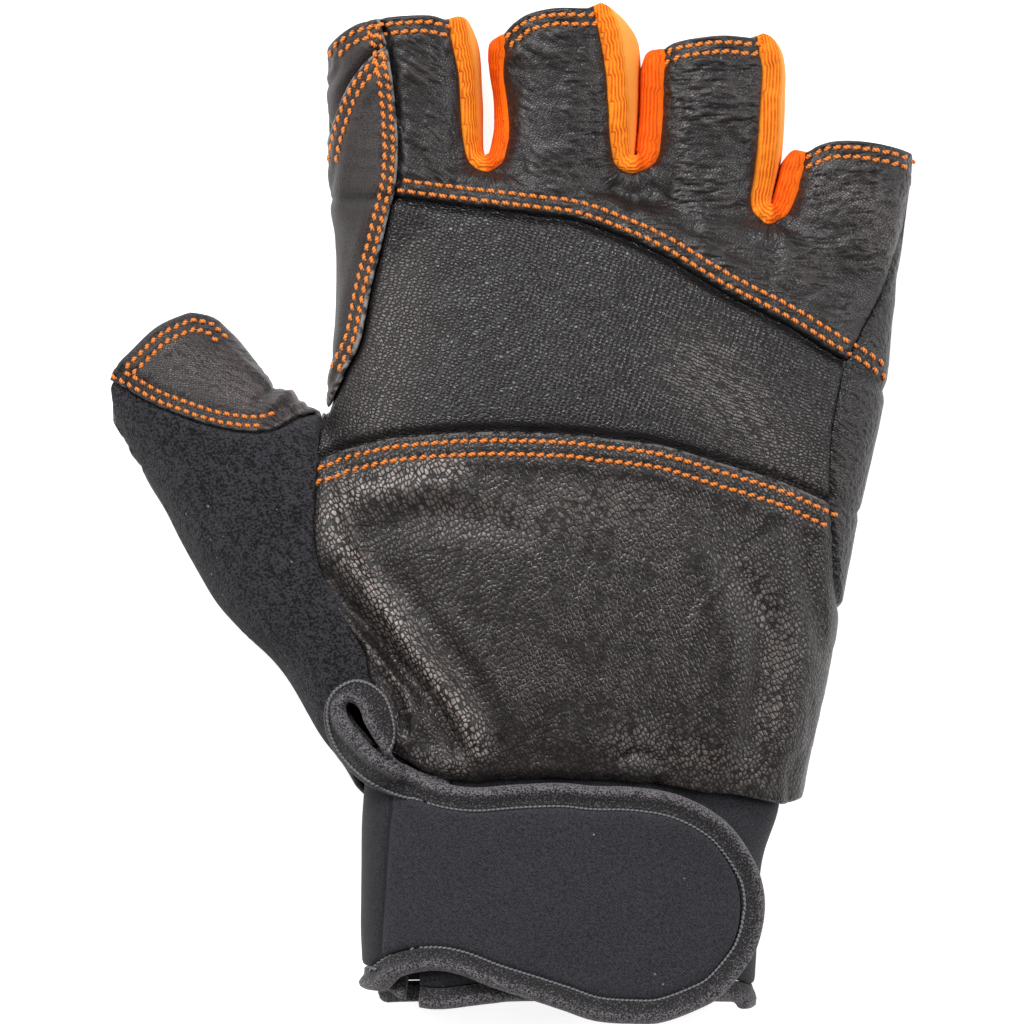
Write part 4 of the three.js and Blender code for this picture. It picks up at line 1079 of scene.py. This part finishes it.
# %% [markdown]
# ## The knit between the fingers
# Each gusset is one strip of orange knit that runs down one finger's wall, round the foot of the slit and
# up the next finger. It is softer than the leather and swells out between its seams.

# %% Gussets
KNIT_WALL = 1.3
# how far the wall of the finger on the left of the slit swells out, and the other one
SWELL = {"gusset_index_middle": (0.65, 1.0), "gusset_middle_ring": (1.1, 1.95), "gusset_ring_little": (1.5, 1.75)}
for name in GUSSETS:
    piece, rims = cut_piece(hand, [(name, 1, "tucked"), ("rim", 1, "hem")])
    border = np.flatnonzero((abs(piece.marks["own_" + name] - TUCK) < 0.45) & (piece.points[:, 2] > 9))
    edge = np.zeros(len(piece.points))
    for start in range(0, len(edge), 4000):
        part = piece.points[start : start + 4000]
        edge[start : start + 4000] = np.sqrt(((part[:, None] - piece.points[border][None]) ** 2).sum(2)).min(1)
    piece.marks["edge"] = edge
    left = split_of(piece.points) == list(GUSSETS).index(name)
    piece.marks["ribbed"] = np.where(left, 1 - ease(edge, 2.2, 3.6), 1.0)
    # the strips right of each slit get painted shade in the knit's colour
    piece.marks["shaded_strip"] = 1.0 - left
    swell = np.where(left, *SWELL[name])
    free = ease(piece.marks["own_" + name] - TUCK, -0.2, 0.8) * ease(piece.marks["rim"], -1.0, 2.4)
    out = free * (swell * ease(edge, 0.2, 3.2) + 0.35 * hump(edge, 1.8, 1.5)) + piece.marks["rise_of_edges"]
    out += 0.12 * lumps(piece.points, 5, 81)
    knit_marks = ["edge", "ribbed", "shaded_strip"]
    thicken(name.replace("gusset", "knit"), piece, out, KNIT_WALL, KNIT, [name], knit_marks, rims)

# %% [markdown]
# ## The palm and the thumb
# The palm is one leather piece that wraps up round the little-finger edge. The photo doesn't show its
# underside, so that is plain. The thumb's back is fuzzy terry, and its palm side is leather whose patch
# laps over the outer edge near the rim.

# %% Palm, thumb back and thumb grip
sew_leather("palm_leather", "palm_panel", "palm",
            [("backside", -1, "tucked"), THUMB_SEAM, RIM, ("gusset", -1, "turned"), ("hem", 1, "hem")],
            skin=under_hand, folds=0.8)

TERRY_WALL = 1.6
piece, rims = cut_piece(hand, [("thumb", -1, "tucked"), ("grip", -1, "under"), RIM, ("hem", 1, "hem"),
                               ("hole", 1, "turned")])
fuzz = 0.10 * lumps(piece.points, 0.9, 51) + 0.10 * lumps(piece.points, 2.3, 52) + 0.2 * lumps(piece.points, 9, 53)
out = piece.marks["rise_of_edges"] + fuzz - 0.25 * hump(piece.marks["loop"], 0, 0.8)
thicken("thumb_terry", piece, out, TERRY_WALL, TERRY, ["thumb_back"], [], rims)


def thumb_folds(piece):
    """The patch rolls up over the root of the thumb, with a crease behind the roll"""
    total = np.zeros(len(piece.points))
    for rise, spread, path in ((0.8, 1.2, [(-42, 23.2), (-44.5, 22.3), (-47.5, 19.8)]),
                               (-0.8, 0.9, [(-43.6, 26.6), (-46.2, 24.8), (-49.5, 21.4)])):
        total += rise * hump(beside(piece.points, smooth_line(path), endless=False)[0], 0, spread)
    return total


sew_leather("thumb_leather", "thumb_grip", "patch",
            [("thumb", -1, "tucked"), ("grip", 1, "top"), RIM, ("hem", 1, "hem")],
            [("patch", 1, "patch"), ("rim", 1, "thumb_rim")], folds=0.0, shape=thumb_folds)

# %% [markdown]
# ## Cuff and strap
# The cuff is a tube of neoprene, a foam rubber with a knitted face, and the strap is a second layer that
# lies on it. Both have a bound edge: a ribbed tape rolled round the edge and sewn down inside.

# %% The cuff's surface
CUFF = [
    (-106, -25.6, 47.0, 25.6, 0.0, 0.0), (-98, -25.8, 47.0, 25.6, 0.0, 0.0),
    (-90, -26.0, 47.2, 25.5, 0.0, 0.0), (-80, -26.2, 48.0, 25.3, 0.0, 0.0), (-70, -26.2, 48.6, 25.0, 0.0, 0.0),
    (-65.7, -26.2, 49.3, 24.9, 0.0, 0.0), (-61.2, -26.0, 51.3, 24.8, 0.0, 0.7),
    (-57.2, -25.8, 52.6, 24.4, 0.0, 2.0), (-46, -25.0, 51.6, 23.8, 0.0, 2.1),
    (-40, -25.0, 51.6, 23.6, 0.0, 2.1),
]
CUFF_EDGE = [(-60, -93), (-26, -93), (-24.6, -93.4), (-21.6, -95.3), (-18.7, -96.4), (-13.8, -96.7),
             (-4.1, -95.5), (4, -95), (40, -95), (45.4, -96.9), (47, -97), (60, -97)]
SLIT = [(-20.4, -40), (-20, -60), (-20, -120)]


def cuff_skin(grow, low, high, size):
    rings = oval_rings(CUFF, step=size, sides=int(230 / size), grow=grow)
    keep = (rings[:, 0, 1] > low) & (rings[:, 0, 1] < high)
    rings = rings[keep]
    n, sides = rings.shape[:2]
    quads = ring_faces(n, sides)
    tris = np.vstack([quads[:, [0, 1, 2]], quads[:, [0, 2, 3]]])
    skin = Skin(rings.reshape(-1, 3), tris)
    if skin.normals[skin.points[:, 2] > 24][:, 2].mean() < 0:
        skin = Skin(skin.points, skin.faces[:, ::-1])
    return skin


# %% Cuff band and its binding
CUFF_WALL = 2.6
TAPE_MARKS = ["along", "over", "channel"]  # what the tape's finish reads at each point
cuff = cuff_skin(0.0, -104, -46.5, 1.1)
cuff.marks["end"], cuff.marks["along"] = beside(cuff.points, smooth_line(CUFF_EDGE))
under = ease(cuff.points[:, 2], 12, 8)
cuff.marks["end"] = cuff.marks["end"] * (1 - under) + (cuff.points[:, 1] + 96) * under
off = beside(cuff.points, smooth_line(SLIT))[0]
cuff.marks["slit"] = np.where(cuff.points[:, 2] > GIRTH, abs(off) - 1.5, 5.0)
cuff.marks["band"] = cuff.marks["end"] - 4.3
cuff.marks["tape"] = -cuff.marks["band"] - 0.15
piece, rims = cut_piece(cuff, [("band", 1, "turned"), ("slit", 1, "turned")])
lip = 0.4 * lumps(piece.points, 12, 61)
piece.marks["shadow"] = 0.3 * hump(piece.marks["own_slit"], 0, 1.0)
cuff_foam = thicken("cuff_foam", piece, lip, CUFF_WALL, NEOPRENE, ["cuff_band"], ["shadow"], rims)
piece, rims = cut_piece(cuff, [("end", 1, "hem"), ("tape", 1, "turned"), ("slit", 1, "turned")])
d = piece.marks["over"] = piece.marks["end"]
piece.marks["channel"] = hump(d, 3.3, 0.5)
out = 0.5 * hump(d, 1.3, 1.1) - 0.3 * hump(d, 3.2, 0.4) + 0.4 * lumps(piece.points, 12, 61)
thicken("cuff_tape", piece, out, CUFF_WALL + 0.3, TAPE, ["cuff_binding"], TAPE_MARKS, rims)

# %% The strap with its round end
STRAP_EDGE = [(-44, -93.3), (-28.7, -93.3), (-26.3, -93.4), (-24.8, -92.6), (-21.8, -90.2), (-15.8, -89.1),
              (-10.5, -89.8), (-4.1, -92.2), (2.9, -94.4), (9.4, -96.5), (16, -98.7), (23.4, -99.3),
              (29.1, -99.1), (35.7, -96.9), (41, -94), (46.4, -87.8), (48.6, -83), (49.6, -77.5),
              (49.2, -72.4), (47.4, -67.5), (43.1, -61.4), (38.8, -57.9), (33.9, -55.4), (29.1, -54),
              (22.4, -53.2), (16, -53.1), (9.4, -52.5), (0.8, -52.8), (-7.4, -53.4), (-13.8, -52.5),
              (-18.7, -50.5), (-23.2, -47.6), (-26.7, -46), (-29.4, -46), (-44, -46)]
STRAP, STRAP_LIFT, BINDING_WIDTH = 2.8, 0.35, 4.7  # thickness, gap to the cuff, width of the tape
strap_line = smooth_line(STRAP_EDGE, 0.8)
layer = cuff_skin(STRAP_LIFT + STRAP, -103, -43, 0.75)
layer.marks["outline"], layer.marks["along"] = beside(layer.points, strap_line)
layer.marks["reach"] = layer.points[:, 2] - np.where(layer.points[:, 0] < 10, 5.0, 12.0)
layer.marks["inner"] = layer.marks["outline"] - BINDING_WIDTH
layer.marks["tape"] = -layer.marks["inner"] - 0.1
fold = smooth_line([(-23.4, -52), (-23.6, -57), (-24.6, -68), (-25.7, -86)])
crease = beside(layer.points, fold, endless=False)[0]
waves = 0.45 * lumps(layer.points, 17, 71) + 0.18 * lumps(layer.points, 7, 72)
layer.marks["rise"] = waves - 0.45 * hump(crease, 0, 0.6)
beyond = -crease * np.sign(crease[layer.points[:, 0].argmax()])
layer.marks["shadow"] = 0.85 * hump(crease, 0, 0.28) + 0.35 * ease(beyond, 0, 1.5)
piece, rims = cut_piece(layer, [("inner", 1, "turned"), ("reach", 1, "hem")])
out = piece.marks["rise"] + 0.12
strap_foam = thicken("strap_foam", piece, out, STRAP, NEOPRENE, ["strap"], ["shadow"], rims[:1])
piece, rims = cut_piece(layer, [("outline", 1, "hem"), ("tape", 1, "turned"), ("reach", 1, "hem")])
d = piece.marks["over"] = piece.marks["outline"]
piece.marks["channel"] = hump(d, 3.3, 0.75)
profile = 0.95 * hump(d, 1.3, 1.15) - 0.35 * hump(d, 3.3, 0.6) + 0.25 * hump(d, 4.4, 0.35)
out = piece.marks["rise"] * 0.8 + profile
thicken("strap_tape", piece, out, STRAP + 0.2, TAPE, ["strap_binding"], TAPE_MARKS, rims)

# %% The bound loop at the head of the slit
LOOP_WALL = 2.2
skin = Skin(hand.points, hand.faces, hand.normals, hand.marks)
skin.marks["along"] = beside(skin.points, LINES["hole"], endless=False)[1]
skin.marks["high"] = skin.points[:, 2] - 8
piece, rims = cut_piece(skin, [("loop", 1, "turned"), ("hole", 1, "hem"), ("high", 1, "turned")])
d = piece.marks["over"] = piece.marks["own_hole"]
piece.marks["channel"] = hump(d, 3.0, 0.5)
out = 1.3 + 0.9 * hump(d, 1.2, 1.1) - 0.3 * hump(d, 2.9, 0.5) - 3.0 * ease(piece.points[:, 0], -24, -13)
thicken("slit_tape", piece, out, LOOP_WALL, TAPE, ["slit_binding"], TAPE_MARKS, rims)

# %% [markdown]
# ## Stitches
# The rows are sewn with thick twisted orange thread. Each stitch is its own little two-ply strand that
# dips into the leather at both ends, set down on the piece below it.


# %% One stitch and a row of them
def stitch_shape(rings=13, sides=7, twist=4.4):
    """A short strand of two twisted plies along x, one unit long to each end"""
    s = np.cos(np.linspace(np.pi, 0, rings))
    fat = (1 - s**4) ** 0.5 * 0.95 + 0.05
    angle = np.linspace(0, 2 * np.pi, sides, endpoint=False)
    ply = abs(np.cos(angle[None] - twist * s[:, None]))
    radius = fat[:, None] * (0.66 + 0.34 * ply)
    points = np.stack([np.repeat(s[:, None], sides, 1), radius * np.cos(angle), radius * np.sin(angle)], 2)
    quads = ring_faces(rings, sides)
    faces = [quads[:, [0, 1, 2]], quads[:, [0, 2, 3]]]
    for start, turn in ((0, -1), ((rings - 1) * sides, 1)):
        faces.append(np.array([[start, start + i, start + i + 1][::turn] for i in range(1, sides - 1)]))
    # the last value is low between the plies and at the ends, where the thread's colour gets painted shade
    return points.reshape(-1, 3), np.vstack(faces), (ply * np.clip(1.15 - s[:, None] ** 4, 0, 1)).ravel()


def stitches(name, rows, finish, slot, size=(0.93, 0.46, 0.40), tilt=20, sink=0.32, shape=(13, 7, 4.4)):
    """Rows of stitches. A row has a line, its distance to the left, where it ends, and the pieces below."""
    shape, shape_faces, ply = stitch_shape(*shape)
    points, faces, marks, count = [], [], [], 0
    for row in rows:
        pitch = row.get("pitch", 1.9)
        line = moved_left(row["line"], row["left"]) if row["left"] else row["line"]
        walked = np.r_[0, np.cumsum(np.linalg.norm(np.diff(line, axis=0), axis=1))]
        first, last = (walked[((line - row[end]) ** 2).sum(1).argmin()] if end in row else 0
                       for end in ("first", "last"))
        for k, at in enumerate(np.arange(first + pitch * row.get("shift", 0), last, pitch)):
            x, y = (np.interp(at, walked, line[:, i]) for i in (0, 1))
            ahead = np.array([np.interp(at + 0.3, walked, line[:, i]) - (x, y)[i] for i in (0, 1)])
            hits = [built[under].ray_cast(Vector((x, y, 60)), Vector((0, 0, -1))) for under in row["on"]]
            hits = [hit for hit in hits if hit[0] is not None]
            if not hits or np.linalg.norm(ahead) < 1e-4:
                continue
            spot, up, _, _ = max(hits, key=lambda hit: hit[0].z)
            up = np.array(up) * (1 if up.z > 0 else -1)
            if up[2] < 0.12:
                continue
            run = np.array([*ahead, 0.0])
            run -= up * (run @ up)
            run /= np.linalg.norm(run)
            side = np.cross(up, run)
            lean = math.radians(tilt * row.get("slant", 1) * (0.85 + 0.3 * math.sin(7.7 * k)))
            run, side = run * math.cos(lean) + side * math.sin(lean), side * math.cos(lean) - run * math.sin(lean)
            local = shape * size
            local[:, 2] -= sink * shape[:, 0] ** 2
            points.append(np.array(spot) + local @ np.stack([run, side, up]) + up * row.get("lift", 0.20))
            faces.append(shape_faces + count * len(shape))
            marks.append(ply)
            count += 1
    new_object(name, np.vstack(points), np.vstack(faces), {"ply": np.concatenate(marks)}, finish)
    print(name, count, "stitches")


# %% Orange rows
FINGER_ON, WRIST_ON = ["finger_panel", "palm_leather"], ["wrist_panel", "palm_leather"]
INDEX_ON, THUMB_ON = ["side_panel", "corner_patch"], ["thumb_leather"]


def double(line, offsets, first, last, on, **more):
    """Two rows beside each other, the second one half a stitch further on"""
    return [dict(line=line, left=left, first=first, last=last, on=on, shift=0.5 * i, **more)
            for i, left in enumerate(offsets)]


def orange(name, rows, **more):
    stitches(name, rows, ORANGE_THREAD, "gusset_knit", **more)


right_of = {seam: [-offset for offset in ROWS[seam]] for seam in ("back", "index")}
orange("knuckle_seam_stitches", double(LINES["knuckle"], ROWS["knuckle"], (-22.0, 62.5), (74, 27), FINGER_ON,
                                       pitch=2.05, slant=-0.3))
orange("back_seam_stitches", double(LINES["back"], right_of["back"], (-38.2, 7.5), (62.6, -2), WRIST_ON, pitch=1.9))
orange("index_side_stitches", double(LINES["index"], right_of["index"], (-26.5, 94.5), (-34.6, 26.5), INDEX_ON,
                                     slant=1.4, pitch=2.0)
       + double(LINES["tip"], ROWS["tip"], (-25.5, 89), (-36, 69), INDEX_ON, slant=1.2, pitch=1.9))
RIM_ENDS = [((-12, 94), (-36.2, 89)), ((16, 96), (-4, 88)), ((48, 91), (28, 87)), ((78, 68), (56, 67))]
rim_rows = []
for line, (first, last) in zip(RIM_LINES, RIM_ENDS):
    rim_rows += double(line, ROWS["rim"], first, last, FINGER_ON + INDEX_ON)
orange("rim_stitches", rim_rows, tilt=16)
patch_rows = double(LINES["patch"], ROWS["patch"], (-77, 26), (-50, 17), THUMB_ON, pitch=1.75, slant=-0.4)
patch_rows[1].update(first=(-75, 27), last=(-45, 19))
orange("thumb_stitches", patch_rows + double(THUMB_RIM_LINE, ROWS["thumb_rim"], (-55, 35), (-75.6, 27.6), THUMB_ON,
                                             pitch=1.75, slant=1.6), size=(0.76, 0.46, 0.40))

# %% Grey chains beside the bindings
CHAIN = dict(size=(0.52, 0.32, 0.25), tilt=14, sink=0.1, shape=(7, 6, 2.2))
STRAP_ON = ["strap_tape", "strap_foam"]
strap_row = dict(line=strap_line, left=4.45, last=(-17, -56.5), on=STRAP_ON, pitch=0.9)
loop_row = dict(line=LINES["loop"], left=0.45, last=(-16.4, -57), on=["slit_tape"] + STRAP_ON, pitch=0.85)
for name, row in (("strap_chain", strap_row), ("loop_chain", loop_row)):
    stitches(name, [row], GREY_THREAD, "binding_tape", **CHAIN)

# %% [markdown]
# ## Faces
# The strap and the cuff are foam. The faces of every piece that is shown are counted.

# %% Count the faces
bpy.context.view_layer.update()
shown = [o.data for o in bpy.context.scene.objects if o.type == "MESH" and o.visible_get()]
total = sum(len(mesh.loop_triangles) or len(mesh.polygons) for mesh in shown)
print("faces in all", total)
